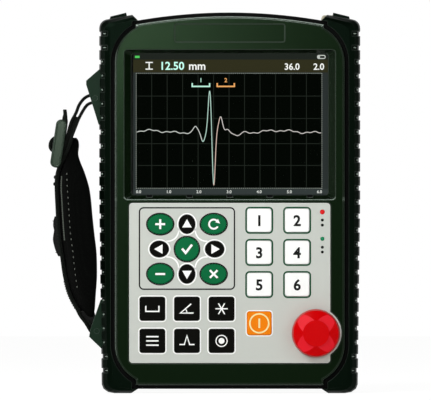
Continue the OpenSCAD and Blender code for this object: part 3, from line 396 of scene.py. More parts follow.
def rounded_line(w, h, r, x, z):
    """A rectangle's outline with round corners about x, z: four quarter circles of radius r, joined."""
    turn = np.radians(np.linspace(0, 90, 7) + np.array([[0], [90], [180], [270]]))
    middle = np.array([(1, 1), (-1, 1), (-1, -1), (1, -1)]) * (w / 2 - r, h / 2 - r)
    return np.column_stack(
        ((middle[:, :1] + r * np.cos(turn)).ravel() + x, (middle[:, 1:] + r * np.sin(turn)).ravel() + z)
    )


def rounded_ring(w, h, r, line, x, z):
    """A round-cornered frame of the given line width, whose inner edge is w by h."""
    return [rounded_line(w + 2 * line, h + 2 * line, r + line, x, z), rounded_line(w, h, r, x, z)], True


def oval_line(w, h, x, z, start=0, stop=360):
    """An ellipse about x, z, or the part of it between two angles in degrees."""
    turn = np.radians(np.linspace(start, stop, 49))
    if stop - start == 360:
        turn = turn[:-1]
    return np.column_stack((x + w / 2 * np.cos(turn), z + h / 2 * np.sin(turn)))


def oval_ring(w, h, line, x, z):
    """An oval frame of the given line width, whose inner edge is w by h."""
    return [oval_line(w + 2 * line, h + 2 * line, x, z), oval_line(w, h, x, z)], True


def figures(text, height, x, z, anchor="LEFT", weight=0.01):
    """Filled shapes of figures in Blender's plain built-in face, whose cap height is 0.73 of its size. Its
    lines grow by the weight, a share of the size. The text is made a mesh, whose x and y become x and z."""
    type_line = bpy.data.curves.new("figures", "FONT")
    type_line.body = text
    cap_share = 0.73
    type_line.size = height / cap_share
    type_line.align_x = anchor
    type_line.offset = weight * type_line.size
    type_line.resolution_u = 3
    setter = bpy.data.objects.new("figures", type_line)
    flat = bpy.data.meshes.new_from_object(setter)
    spots = np.empty(len(flat.vertices) * 3)
    flat.vertices.foreach_get("co", spots)
    spots = spots.reshape(-1, 3)[:, :2] + (x, z)
    shapes = [([spots[list(face.vertices)]], True) for face in flat.polygons]
    bpy.data.meshes.remove(flat)
    bpy.data.objects.remove(setter)
    bpy.data.curves.remove(type_line)
    return shapes


lcd_dot = 0.37
lcd_low, lcd_high = (np.array(corner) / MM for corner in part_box("lcd_module"))
lcd_hidden, picture_drop = 2.5, 0.3
picture_top = lcd_high[2] - lcd_hidden - picture_drop
picture_low = lcd_low[2] + lcd_hidden
picture_half = lcd_high[0] - lcd_hidden
lcd_layer = 0.05


def glowing(name, colour, strength):
    """LCD dots: light of one colour that falls by a tenth between the dots. A wave texture repeats every
    pi / 10 over its scale."""
    made, tree, place = finish(name)
    made.cycles.emission_sampling = "NONE"
    pitch = {"Vector": place, "Scale": np.pi / 10 / (lcd_dot * MM)}
    rows = add(tree, "TexWave", pitch, "Fac", bands_direction="Z")
    return coated(made, {
        "Base Color": linear("#000000"),
        "Roughness": 0.6,
        "Specular IOR Level": 0.0,
        "Emission Color": toned(tree, rows, colour, 0.9, 1),
        "Emission Strength": strength,
    })


def on_screen(dots):
    """Places on the screen in dots from its middle and its top edge, as x and z in mm."""
    return np.asarray(dots, float) * (lcd_dot, -lcd_dot) + (0, picture_top)


def bar(x0, x1, top, low):
    """A filled bar between dots."""
    (left, upper), (right, lower) = on_screen([(x0, top), (x1, low)])
    return plate(left, right, lower, upper)


def lcd_film(name, layer, colour, shapes, strength=1.0):
    """A layer of the picture, numbered from the module outwards."""
    made = glowing(f"lcd_{name}", colour, strength)
    film(name, shapes, lcd_low[1] - layer * lcd_layer, made, "housing")


screen_half = picture_half / lcd_dot
hidden_left = 2.8
screen_left = hidden_left - screen_half
screen_low = (picture_top - picture_low) / lcd_dot
plot_left, plot_right, plot_top, plot_low = -154.4, 152.1, 32.4, 222.2
plot_columns = 12
for name, layer, colour, edges in (
    ("screen_margin", 1, "#2d3332", (screen_left, screen_half, -1, screen_low)),
    ("status_bar", 2, "#222722", (screen_left, screen_half, -1, 9.8)),
    ("reading_bar", 2, "#32311f", (screen_left, screen_half, 9.8, 31)),
    ("scale_bar", 2, "#363d3c", (screen_left, screen_half, 223.4, 231.6)),
    ("plot_ground", 2, "#040704", (plot_left, plot_right, plot_top, plot_low)),
):
    lcd_film(name, layer, colour, [bar(*edges)])
column_x = np.linspace(plot_left, plot_right, plot_columns + 1)[1:-1]
row_y = (70, 107, 148.5, 184.5)
grid_line = 0.45
lcd_film(
    "plot_grid",
    3,
    "#222722",
    [stroke(on_screen([(x, plot_top), (x, plot_low)]), grid_line) for x in column_x]
    + [stroke(on_screen([(plot_left, y), (plot_right, y)]), grid_line) for y in row_y],
)
dash_pitch, dash_l, dash_half = 3.2, 1.8, 0.6
dash_x = np.arange(plot_left, plot_right, dash_pitch)
dash_y = np.arange(plot_top, plot_low, dash_pitch)
lcd_film(
    "plot_border",
    3,
    "#8d948c",
    [bar(x, x + dash_l, y - dash_half, y + dash_half) for x in dash_x for y in (plot_top, plot_low)]
    + [bar(x - dash_half, x + dash_half, y, y + dash_l) for x in (plot_left, plot_right) for y in dash_y],
)
gate_top, gate_low, gate_line = 48.6, 55.2, 2.3


def gate(left, right):
    """A gate mark: a bar with two short posts."""
    return [
        bar(left, right, gate_low - gate_line, gate_low),
        bar(left, left + gate_line, gate_top, gate_low - gate_line),
        bar(right - gate_line, right, gate_top, gate_low - gate_line),
    ]


def figure_at(text, dots, x, y, anchor="LEFT"):
    """Figures whose height is given in dots, with their lower left corner at a dot."""
    (left, low), = on_screen([(x, y)])
    return figures(text, dots * lcd_dot, left, low, anchor, 0.018)


reading_y, note_line = 26.4, 1.8
lcd_film("first_gate", 4, "#c2f6e2", gate(-63.1, -32.1) + figure_at("1", 7, -47.6, 47, "CENTER"))
lcd_film("second_gate", 4, "#f6b067", gate(-21.8, 8.7) + figure_at("2", 7, -6.5, 47, "CENTER"))
lcd_film("reading", 3, "#c4fbe9", figure_at("12.50", 13.5, -116, reading_y), 1.15)
lcd_film(
    "reading_notes",
    3,
    "#f4f6f1",
    figure_at("mm", 13.5, -68, reading_y)
    + figure_at("36.0", 10.8, 90, reading_y)
    + figure_at("2.0", 10.8, 156, reading_y, "RIGHT")
    + [bar(-139, -127, y, y + note_line) for y in (reading_y - 12.8, reading_y - note_line)]
    + [bar(-134, -132, reading_y - 11, reading_y - note_line)],
    1.1,
)
lcd_film("ready_mark", 3, "#55d060", [bar(-156.5, -148.8, 3.4, 7.2)])
battery_x, battery_z = on_screen([(151.2, 5.4)])[0]
charge = plate(battery_x - 1.95, battery_x - 0.85, battery_z - 0.55, battery_z + 0.55)
lcd_film("battery_mark", 3, "#d4d9d2", [rounded_ring(4.2, 1.4, 0.6, 0.5, battery_x, battery_z), charge])
scale_x = np.linspace(plot_left + 4, plot_right - 4, 7)
scale = [figure_at(f"{i}.0", 5.0, x, 230.2, "CENTER") for i, x in enumerate(scale_x)]
lcd_film("scale_figures", 3, "#e4e8e2", sum(scale, []))

# Echo: lobes at their places and heights in dots, each a Gaussian, over a slow ripple.
echo_x = np.linspace(plot_left + 1, plot_right - 1, 900)
base_y = 128.6
lobes = np.array([
    (-56.5, -8.2, 4.4), (-44.4, 17.5, 4.6), (-33.0, -67.6, 3.6), (-26.4, 91.0, 3.4),
    (-14.9, -21.5, 4.2), (-3.4, -3.0, 4.0), (12.4, 6.0, 6.0),
])
swing = (lobes[:, 1] * np.exp(-(((echo_x[:, None] - lobes[:, 0]) / lobes[:, 2]) ** 2))).sum(axis=1)
ripple = 1.8 * np.sin(echo_x / 17) + 1.3 * np.sin(echo_x / 6.1 + 1) + 0.8 * np.sin(echo_x / 2.3)
echo = np.column_stack((echo_x, base_y + swing + ripple))
echo_line = 0.46
cuts = (0, *np.searchsorted(echo_x, (-46, -27, -16)), len(echo))
stretches = zip(cuts[:-1], cuts[1:])
for (first, last), name, colour in zip(
    stretches,
    ("echo_before", "echo_first_gate", "echo_second_gate", "echo_after"),
    ("#d2d6d1", "#b9dccf", "#dfc3b6", "#d4cfcb"),
):
    lcd_film(name, 4, colour, [stroke(on_screen(echo[first : last + 1]), echo_line)])

acrylic, glass, glass_place = finish("clear_acrylic")
smudge = add(glass, "TexNoise", {"Vector": glass_place, "Scale": 1 / (14 * MM), "Detail": 3.0})
clouded = {"Value": smudge, "From Min": 0.4, "From Max": 0.7, "To Min": 0.005, "To Max": 0.02}
pane = {
    "Base Color": linear("#ffffff"),
    "Roughness": add(glass, "MapRange", clouded),
    "IOR": 1.49,
    "Specular Tint": linear("#303030"),
    "Transmission Weight": 1.0,
}
dress(coated(acrylic, pane), "display_window")


# Keypad panel: a pale grey satin polycarbonate plate let into the face, its edge painted near white as a
# painted highlight, with a screen-printed box round the navigation keys, rings and outlines round the keys,
# and dots beside the lamps.
panel_film = moulded(
    "grey_polycarbonate_satin", "#c4c8c1", 0.4, 0.5, 0.01, gloss=0.3, drift=0.03, edge=0.5, edge_highlight=0.9,
    full=0.9, pale="#f6f8f4"
)
dress(panel_film, "keypad_panel")
panel_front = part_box("keypad_panel")[0].y / MM
ink_lift = 0.03


def ink(name, colour, rough=0.45):
    """Screen-printed ink: a dull film with the faint grain of the mesh it was pressed through."""
    return moulded(name, colour, rough, 0.4, 0.004, gloss=0.1, drift=0.04, edge=0.05)


def key_place(name):
    """Middle x and z of a key, its width and its height, in mm, without the flange behind the panel."""
    low, high = (np.array(corner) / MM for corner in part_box(name))
    flange = 0.7
    x, _, z = (low + high) / 2
    w, _, h = high - low - 2 * flange
    return x, z, w, h


green_keys = ("gain_up_key", "auto_gain_key", "gain_down_key", "cancel_key", "enter_key")
arrow_keys = ("up_key", "down_key", "left_key", "right_key")
square_keys = ("gate_key", "angle_key", "freeze_key", "menu_key", "peak_key", "record_key")
soft_keys = tuple(f"soft_key_{i}" for i in range(1, 7))
seam = 0.2
dark_ink = ink("black_ink", "#0b0d0b")
white_ink = ink("white_ink", "#fafbf8")
green_ink = ink("green_ink", "#0f4b2e")


def keyed(names, line, r):
    """A printed frame of the given line width round each square key's hole."""
    places = [key_place(name) for name in names]
    return [rounded_ring(w + 2 * seam, h + 2 * seam, r + seam, line, x, z) for x, z, w, h in places]


def ringed(names, line):
    """A printed ring of the given line width round each oval key's hole."""
    places = [key_place(name) for name in names]
    return [oval_ring(w + 2 * seam, h + 2 * seam, line, x, z) for x, z, w, h in places]


pad_x, pad_z, _, _ = key_place("enter_key")
lamp_x = (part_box("red_led")[0].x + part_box("red_led")[1].x) / 2 / MM
box_w, box_h, box_r, box_line, box_rise = 57.1, 48.8, 2.1, 0.85, 0.35
lamp_dots = (105.8, 102.7, 89.2, 86.3)
arc_r, arc_line, arc_half = 6.7, 0.9, 52
arc_x = np.array([-1, 1, 1, -1]) * 11.8 + pad_x
arc_z = np.array([1, 1, -1, -1]) * 11.5 + pad_z
arcs = [
    oval_line(2 * arc_r, 2 * arc_r, x, z, middle - arc_half, middle + arc_half)
    for x, z, middle in zip(arc_x, arc_z, (-45, 225, 135, 45))
]
dark_print = [rounded_ring(box_w, box_h, box_r, box_line, pad_x, pad_z + box_rise)] + ringed(green_keys, 0.7)
dark_print += [([oval_line(1.8, 1.8, lamp_x, z)], True) for z in lamp_dots]
white_print = ringed(arrow_keys, 0.9) + keyed(square_keys, 0.8, 1.5) + keyed(("power_key",), 0.7, 1.6)
for name, shapes, made in (
    ("panel_dark_print", dark_print, dark_ink),
    ("panel_white_print", white_print, white_ink),
    ("panel_green_print", keyed(soft_keys, 0.9, 1.6), green_ink),
    ("panel_arcs", [stroke(arc, arc_line) for arc in arcs], white_ink),
):
    film(name, shapes, panel_front - ink_lift, made, "housing")

# Keys: hard satin caps of two-shot ABS on the silicone mat, each in its own colour with a legend printed on
# its top. The legends are plain signs and figures, and move with their keys.
for name, colour, rough, gloss, drift, keys in (
    ("green_key_cap", "#08663a", 0.4, 0.04, 0.08, green_keys),
    ("black_key_cap", "#050502", 0.4, 0.04, 0.08, arrow_keys + square_keys),
    ("white_key_cap", "#fbfcfa", 0.4, 0.25, 0.02, soft_keys),
    ("orange_key_cap", "#f18100", 0.35, 0.08, 0.03, ("power_key",)),
):
    dress(moulded(name, colour, rough, 0.6, 0.01, gloss, drift, edge=0.4), *keys)
yellow_ink = ink("pale_yellow_ink", "#f6e6a4")


def star(arms, reach, width, start):
    """Outline of equal arms about the middle, the first at the angle start. Each arm has two end corners, and
    two neighbours meet in a corner at width / 2 / sin(half the angle between them)."""
    half = np.pi / arms
    turn = np.radians(start) + 2 * half * np.arange(arms)[:, None]
    far = np.hypot(reach, width / 2)
    tip = np.arctan2(width / 2, reach)
    angle = turn + (-tip, tip, half)
    radius = np.tile((far, far, width / 2 / np.sin(half)), arms)
    return [np.column_stack((np.cos(angle.ravel()), np.sin(angle.ravel()))) * radius[:, None]], True


# Each sign is strokes and fills about the key's own middle, in mm.
sign_line = 1.25
signs = {
    "gain_up_key": [star(4, 3.0, sign_line, 0)],
    "gain_down_key": [stroke([(-3, 0), (3, 0)], sign_line)],
    "auto_gain_key": [
        stroke(oval_line(5.6, 5.6, 0, 0, 50, 330), 1.1),
        ([np.array([(0.96, 1.15), (3.94, 0.34), (2.64, 3.14)])], True),
    ],
    "cancel_key": [star(4, 3.3, sign_line, 45)],
    "enter_key": [stroke([(-3.0, 0.3), (-0.8, -2.3), (3.1, 2.7)], 1.4)],
    "gate_key": [stroke([(-4, 1.8), (-4, -1.6), (4, -1.6), (4, 1.8)], 0.8)],
    "angle_key": [
        stroke([(4, -2.6), (-4, -2.6), (2.6, 3)], 0.8), stroke(oval_line(8, 8, -4, -2.6, 6, 34), 0.6)
    ],
    "freeze_key": [star(6, 3.8, 0.75, 0)],
    "menu_key": [stroke([(-3.8, z), (3.8, z)], 0.85) for z in (-2.6, 0, 2.6)],
    "peak_key": [stroke([(-4.6, -2.2), (-1.6, -2.2), (0, 3.2), (1.6, -2.2), (4.6, -2.2)], 0.75)],
    "record_key": [([oval_line(3.6, 3.6, 0, 0)], True), oval_ring(6.2, 6.2, 0.6, 0, 0)],
    "power_key": [oval_ring(10.6, 10.6, 0.9, 0, 0), stroke([(0, -2.9), (0, 2.9)], 1.1)],
}
for quarter, name in enumerate(("up_key", "left_key", "down_key", "right_key")):
    turn = np.radians(90 * quarter)
    spin = np.array([(np.cos(turn), np.sin(turn)), (-np.sin(turn), np.cos(turn))])
    signs[name] = [([np.array([(0, 3.1), (-2.9, -2), (2.9, -2)]) @ spin], True)]
for name in soft_keys:
    signs[name] = figures(name[-1], 6.6, 0, -3.3, "CENTER", 0.03)
for names, made, slot in (
    (green_keys, white_ink, "key_green"),
    (arrow_keys + square_keys, white_ink, "key_black"),
    (soft_keys, dark_ink, "key_white"),
    (("power_key",), yellow_ink, "key_orange"),
):
    for name in names:
        x, z, _, _ = key_place(name)
        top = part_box(name)[0].y / MM - ink_lift
        drawn = [([line + (x, z) for line in lines], closed) for lines, closed in signs[name]]
        film(f"{name}_legend", drawn, top, made, name)


# Knob: turned from red ABS with a flat centre, polished, and four flats milled on its diagonals, which are
# painted lighter as a painted highlight. It sits on the steel shaft of a rotary encoder whose nut holds it in
# the panel.
def painted_flat_highlight(tree, place, plain):
    """The knob's red, painted lighter on the four flats as a painted highlight. A flat is the plane height +
    slope
    * (|x| + |z|) / sqrt 2 = constant, with the height counted from the back. The planes also run through the
    raised centre, which is left out by its height."""
    low, high = (np.array(corner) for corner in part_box("control_knob"))
    flat_rise, cut_start, centre_step = 10.6 * MM, 6.448 * MM, 0.15 * MM
    slope = np.tan(np.radians(23.7))
    middle = (low + high) * (0.5, 0, 0.5)
    off_axis = add(tree, "VectorMath", {0: place, 1: middle}, operation="SUBTRACT")
    folded = add(tree, "VectorMath", {0: off_axis}, operation="ABSOLUTE")
    tilt = (slope / np.sqrt(2), 1, slope / np.sqrt(2))
    level = add(tree, "VectorMath", {0: folded, 1: tilt}, "Value", operation="DOT_PRODUCT")
    constant = flat_rise + slope * cut_start - high[1]
    off_plane = add(tree, "Math", {0: level, 1: constant}, operation="SUBTRACT")
    away = add(tree, "Math", {0: off_plane}, operation="ABSOLUTE")
    near = {"Value": away, "From Min": 0.02 * MM, "From Max": 0.06 * MM, "To Min": 1.0, "To Max": 0.0}
    milled = add(tree, "MapRange", near)
    depth = add(tree, "SeparateXYZ", {0: folded}, "Y")
    sunk = add(tree, "Math", {0: depth, 1: -low[1] - centre_step}, operation="LESS_THAN")
    share = add(tree, "Math", {0: milled, 1: sunk}, operation="MULTIPLY")
    paler = {"Factor": share, "A": plain, "B": linear("#e51f2c")}
    return add(tree, "Mix", paler, "Result", data_type="RGBA")


knob_abs = moulded(
    "red_abs_polished", "#cb0004", 0.3, 1.0, 0.005, gloss=0.05, drift=0.03, edge=0.05, recoloured=painted_flat_highlight
)
dress(knob_abs, "control_knob")


def metal(name, colour, rough, lines, axis):
    """Bare metal cut on a lathe or drawn: streaks of the given spacing in mm, stacked along one axis, in
    roughness and as a shallow bump."""
    made, tree, place = finish(name)
    stretch = [0.02, 0.02, 0.02]
    stretch["XYZ".index(axis)] = 1.0
    drawn = add(tree, "Mapping", {"Vector": place, "Scale": stretch})
    streak = add(tree, "TexNoise", {"Vector": drawn, "Scale": 1 / (lines * MM), "Detail": 2.0})
    rub = add(tree, "MapRange", {"Value": streak, "To Min": rough - 0.1, "To Max": rough + 0.1})
    rounded = add(tree, "Bevel", {"Radius": 0.2 * MM}, samples=6)
    bumps = {"Height": streak, "Distance": 0.01 * MM, "Strength": 0.5, "Normal": rounded}
    return coated(made, {
        "Base Color": linear(colour),
        "Metallic": 1.0,
        "Roughness": rub,
        "Normal": add(tree, "Bump", bumps),
    })


steel = metal("drawn_steel", "#a9ada9", 0.32, 0.4, "Y")
dress(steel, "rotary_encoder", "encoder_nut", "encoder_shaft", "stand_pins")


# Lamps: a red and a green light-emitting diode, soldered to the board behind. Their tinted epoxy lenses stand
# out of the panel, smooth and faintly lit.
def lamp_lens(name, colour, strength):
    """Tinted epoxy: smooth and glossy, a little light of its own, and clouded over about 1 mm."""
    made, tree, place = finish(name)
    haze = add(tree, "TexNoise", {"Vector": place, "Scale": 1 / (1.0 * MM), "Detail": 1.0})
    return coated(made, {
        "Base Color": toned(tree, haze, colour, 0.85, 1),
        "Roughness": 0.25,
        "Specular IOR Level": 0.2,
        "Emission Color": linear(colour),
        "Emission Strength": strength,
    })


dress(lamp_lens("red_epoxy", "#d80a10", 0.08), "red_led")
dress(lamp_lens("green_epoxy", "#178556", 0.05), "green_led")

# Screws and sockets: blackened screws hold the shells and zinc-plated ones the battery door. The probe
# sockets are turned brass under nickel-plated nuts, and fine turning lines streak their gloss.
dress(metal("zinc_plated_steel", "#9a9d98", 0.38, 0.5, "X"), "battery_door_screws")
dress(metal("blackened_steel", "#3a3d3a", 0.42, 0.5, "X"), "housing_screws")
dress(metal("turned_brass", "#b5a878", 0.3, 0.35, "Z"), "front_probe_socket", "rear_probe_socket")
dress(metal("nickel_plated_brass", "#b9b59c", 0.35, 0.35, "Z"), "socket_nuts")

# Lugs: glass-filled nylon in the housing's green with a satin skin and edges painted paler as a painted
# highlight, let into the left grip and held by it, each with an enamelled steel bar for the webbing.
lug_nylon = moulded("green_nylon", "#14281b", 0.4, 0.8, 0.03, gloss=0.06, edge=0.6, edge_highlight=0.25)
dress(lug_nylon, "top_lug", "bottom_lug")
bar_enamel = moulded("green_enamelled_steel", "#14281b", 0.35, 0.5, 0.01, gloss=0.06, edge=0.2)
dress(bar_enamel, "lug_pins")


# Strap webbing: 25 mm black nylon, sewn round the lower bar, run up over the pad, turned round the upper bar
# and woven back through the slide buckle, with its end left free. Ribs cross it and its edges are painted
# paler, a painted highlight.
def length_along(line):
    """Length from a line's first point to each of its points."""
    return np.concatenate(([0], np.cumsum(np.linalg.norm(np.diff(line, axis=0), axis=1))))


def smooth(points, n):
    """A Catmull-Rom curve through points, at n places evenly spaced along it."""
    points = np.asarray(points, float)
    t = np.linspace(0, len(points) - 1, 20 * len(points))
    i = np.minimum(t.astype(int), len(points) - 2)
    f = (t - i)[:, None]
    ends = np.concatenate((2 * points[:1] - points[1:2], points, 2 * points[-1:] - points[-2:-1]))
    a, b, c, d = ends[i], ends[i + 1], ends[i + 2], ends[i + 3]
    curve = b + f * (c - a + f * (2 * a - 5 * b + 4 * c - d + f * (3 * (b - c) + d - a))) / 2
    run = length_along(curve)
    even = np.linspace(0, run[-1], n)
    return np.column_stack([np.interp(even, run, column) for column in curve.T])


def band(name, route, width, thick, made):
    """A flat band along a route in x and z: a round-cornered section carried along it, square to its
    direction. Its map holds the length along and the place across, in metres."""
    section = rounded_line(width, thick, 0.42 * thick, 0, 0)
    along = unit(np.gradient(route, axis=0))
    square = np.column_stack((-along[:, 1], along[:, 0]))
    middle = route[:, None, :] + square[:, None, :] * section[None, :, 1:]
    across = np.broadcast_to(section[:, 0], middle.shape[:2])
    points = np.stack((middle[..., 0], across, middle[..., 1]), axis=-1).reshape(-1, 3)
    faces = skin_faces(len(route), len(section))
    thing = piece(name, points, faces, made, "housing")
    shade(thing, 60)
    run = np.broadcast_to(length_along(route)[:, None], across.shape)
    spread = np.stack((run, across), axis=-1).reshape(-1, 2) * MM
    corner = np.empty(len(thing.data.loops), int)
    thing.data.loops.foreach_get("vertex_index", corner)
    thing.data.uv_layers.new(name="weave").data.foreach_set("uv", spread[corner].ravel())
    return thing


def webbing_nylon(name, colour, pale, width, rib):
    """Woven nylon: ribs of the given spacing in mm along the band and cords across it, as a bump and as a
    change of tone, with selvedges painted paler as a painted highlight. Real ribs are about half as wide:
    they are drawn to show."""
    made, tree, _ = finish(name)
    weave = add(tree, "UVMap", uv_map="weave")
    pitches = ({"Vector": weave, "Scale": np.pi / 10 / (pitch * MM)} for pitch in (rib, 1.4 * rib))
    ribs, cords = (
        add(tree, "TexWave", pitch, "Fac", bands_direction=way) for pitch, way in zip(pitches, "XY")
    )
    height = add(tree, "Math", {0: ribs, 1: cords}, operation="ADD")
    across = add(tree, "SeparateXYZ", {0: weave}, "Y")
    away = add(tree, "Math", {0: across}, operation="ABSOLUTE")
    side = {"Value": away, "From Min": (width / 2 - 0.8) * MM, "From Max": (width / 2 - 0.3) * MM}
    selvedge = add(tree, "MapRange", side)
    edged = {"Factor": selvedge, "A": toned(tree, ribs, colour, 0.6, 1.3), "B": linear(pale)}
    bumps = {"Height": height, "Distance": 0.25 * MM, "Strength": 0.8}
    return coated(made, {
        "Base Color": add(tree, "Mix", edged, "Result", data_type="RGBA"),
        "Normal": add(tree, "Bump", bumps),
        "Roughness": 0.7,
        "Specular IOR Level": 0.08,
        "Sheen Weight": 0.015,
    })


grip_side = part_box("left_grip")[0].x / MM
bar_r = 1.5
low_bar_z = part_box("lug_pins")[0].z / MM + bar_r
top_bar_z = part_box("lug_pins")[1].z / MM - bar_r
bar_span = top_bar_z - low_bar_z
webbing_w, webbing_t = 25, 1.6


def strap_at(places):
    """Places out from the grip's side and up from the lower bar, as x and z."""
    return np.asarray(places, float) * (-1, 1) + (grip_side, low_bar_z)


def round_bar(out, up, start, stop):
    """A turn of the webbing round a bar, between two angles in degrees, as places out and up."""
    turn = np.radians(np.linspace(start, stop, 8))
    slack = 0.2
    reach = bar_r + slack + webbing_t / 2
    return np.column_stack((out - reach * np.cos(turn), up + reach * np.sin(turn)))


buckle_tilt = np.radians(8.6)
buckle_top = np.array((22.8, 128.4))


def by_buckle(places):
    """Places down the buckle from its top end and out from its middle, as places out and up."""
    down = np.array((np.sin(buckle_tilt), -np.cos(buckle_tilt)))
    away = np.array((np.cos(buckle_tilt), np.sin(buckle_tilt)))
    return buckle_top + np.asarray(places, float) @ np.array((down, away))


webbing_run = [
    (5.3, -0.4), (8.4, 4.6), (11.7, 9), (13.9, 13.2), (16.6, 18), (19.1, 23.9), (21.6, 34), (23.2, 45),
    (24.8, 56), (25.6, 66), (26.1, 76), (26.6, 88), (26.2, 95), (24.7, 100.6), (22, 106), (19.4, 112),
    (16.9, 119.3), (14.6, 125.2), (12.2, 131), (7.8, 138),
]
webbing_return = [(5.6, 144.2), (9.2, 142.4), (12.4, 138.4), (14.4, 133.4)]
webbing_weave = [
    (-0.9, -5.7), (3, -5), (7, -4.6), (11, -4.1), (14.5, -3.3), (17.6, -1.8), (19.3, 0.6), (19, 3.2),
    (17.2, 4.9), (14.6, 5.2), (12.2, 4.4), (10.4, 2.5), (9.3, 0.2), (8, -1.6), (5.2, -2.5), (2, -2.5),
    (-0.8, -2.3), (-3.4, -1.2), (-7.1, -0.3),
]
webbing_route = np.concatenate((
    [(6.9, 6.2), (5.4, 4.3)],
    round_bar(1.58, 0, 120, -105),
    webbing_run,
    round_bar(2.6, bar_span, 250, 455),
    webbing_return,
    by_buckle(webbing_weave),
))
black_nylon = webbing_nylon("black_nylon_webbing", "#020302", "#0f130f", webbing_w, 1.6)
webbing = band("webbing", smooth(strap_at(webbing_route), 420), webbing_w, webbing_t, black_nylon)
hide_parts("strap_webbing")

# Layers sewn to the webbing: a lining tape between it and the pad, the doubled end between the two runs by
# the buckle, and the fold under the webbing where it bulges out of the buckle. They show as thin dark steps.
strap_line = smooth(webbing_run, 300)
lean = unit(np.gradient(strap_line, axis=0))
lining_drop = 0.3
inward = np.column_stack((-lean[:, 1], lean[:, 0])) * (webbing_t / 2 + lining_drop)
lined = (strap_line[:, 1] > 10) & (strap_line[:, 1] < 119)
doubled_route = [
    (23.4, 106), (22.5, 108.6), (21.6, 111), (20.2, 115), (18.6, 119), (17, 123), (15.2, 127.4), (13.9, 131),
]
fold_route = by_buckle([(10.9, 2), (12.4, 3.1), (14.6, 3.7), (16.6, 3.3), (17.8, 2.2), (18, 0.8)])
for label, route, thick in (
    ("lining", (strap_line + inward)[lined], 1.3),
    ("doubled_end", doubled_route, 2.2),
    ("fold", fold_route, 1.7),
):
    band(f"webbing_{label}", smooth(strap_at(route), 160), webbing_w - 1, thick, black_nylon)

# Strap tab: a piece of the same webbing, folded twice and sewn flat on the strap as a keeper. Its folded
# edges are painted a little paler, a painted highlight.
tab_w = 22
tab_outer = [
    (25.2, 45.6), (27, 49.6), (28.4, 55.2), (28.2, 58.6), (27.8, 61.5), (28.3, 64.4), (28.1, 67.4),
    (27.4, 70),
]
tab_inner = [(24.2, 45.6), (25.5, 55.2), (26.1, 61.5), (26.6, 70)]


def quilt(name, outer, inner, count, width, made):
    """A soft block between two lines of places out and up, smoothed to the same count of points and carried
    across the strap. Towards each side the outer line sinks to the inner one along a quarter circle."""
    outer, inner = (smooth(strap_at(line), count) for line in (outer, inner))
    side_r = 1.2
    across = np.linspace(-1, 1, 41) * width / 2
    rise = np.sqrt(1 - np.clip((np.abs(across) - width / 2 + side_r) / side_r, 0, 1) ** 2)
    front = inner[None] + (outer - inner)[None] * (0.25 + 0.75 * rise[:, None, None])
    back = np.broadcast_to(inner, front.shape)[:, ::-1]
    rings = np.concatenate((front, back), axis=1)
    sides = np.broadcast_to(across[:, None], rings.shape[:2])
    points = np.stack((rings[..., 0], sides, rings[..., 1]), axis=-1).reshape(-1, 3)
    thing = piece(name, points, skin_faces(*rings.shape[:2]), made, "housing")
    shade(thing, 50)
    return thing


tab_cloth = moulded(
    "black_nylon_tab", "#060706", 0.65, 0.9, 0.12, gloss=0.15, edge=0.5, edge_highlight=0.15, pale="#7d837a"
)
tab = quilt("keeper_tab", tab_outer, tab_inner, 48, tab_w, tab_cloth)
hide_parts("strap_tab")

# Folded ends of the strap: the tongue of the pad's cover that closes the loop at the lower bar, and the
# hemmed tip that keeps the webbing from slipping out of the buckle. Both are of the tab's cloth.
tongue_outer = [(5, 0.7), (6.2, 2.6), (8.6, 5.6), (11.2, 9.4), (12.6, 12)]
tongue_inner = [(3.6, 1.9), (2.9, 3.9), (2.3, 6), (2.6, 9), (3.6, 12)]
tip_outer = [(22.8, 128.7), (22.6, 130.4), (22, 132.8), (21.2, 135.4)]
tip_inner = [(19.8, 128.7), (19.8, 130.4), (20, 132.8), (20.3, 135.4)]
end_w = 24
quilt("strap_tongue", tongue_outer, tongue_inner, 24, end_w, tab_cloth)
quilt("strap_tip", tip_outer, tip_inner, 24, end_w, tab_cloth)

# Strap pad: foam between two layers of black nylon cloth, bound and sewn along both sides, and curved round
# the back of the hand. The seams hold the cloth down and the foam swells it between them.
pad_half, pad_t, pad_square = 25, 4, 2.6
pad_slack = 0.3
pad_stations = np.array([
    (7.6, 9.2, 4, 0.46), (9.5, 10.7, 3.6, 0.54), (13.2, 12.6, 3, 0.64), (18, 15.3, 2.7, 0.75),
    (24, 17.9, 2.3, 0.86), (34, 20.4, 1.7, 0.97), (47.6, 22.4, 2, 1), (58, 23.8, 3.2, 1), (70, 24.6, 4.5, 1),
    (80, 25.1, 5.4, 1), (88, 25.4, 6.6, 0.98), (96.9, 24.5, 9.3, 0.92), (103, 22.2, 11.8, 0.82),
    (108, 19.8, 13.2, 0.7), (113, 17.8, 12.7, 0.56), (116, 17, 12.9, 0.46), (117.6, 16.6, 13.5, 0.38),
    (118.2, 16.4, 14.2, 0.33),
])
pad_rows, pad_columns = 72, 33


def pad_layer(stations, turn, inner):
    """A layer of the pad on a grid of stations and turns across it. Across, it is half a squarish ellipse
    from edge to edge whose height is the pad's sag; the inner layer is the pad's thickness further in."""
    up, outer, edge, share = (stations[:, k : k + 1] for k in range(4))
    sag = outer - edge
    thick = np.minimum(pad_t, 0.7 * sag)
    inset = thick - pad_slack if inner else pad_slack
    height = np.maximum(np.cos(turn), 0) ** (2 / pad_square)
    reach = np.sign(np.sin(turn)) * np.abs(np.sin(turn)) ** (2 / pad_square)
    out = edge + np.maximum(sag - inset, 1) * height
    across = (share * pad_half - inset) * reach
    return np.stack((grip_side - out, across, low_bar_z + up + 0 * reach), axis=-1)


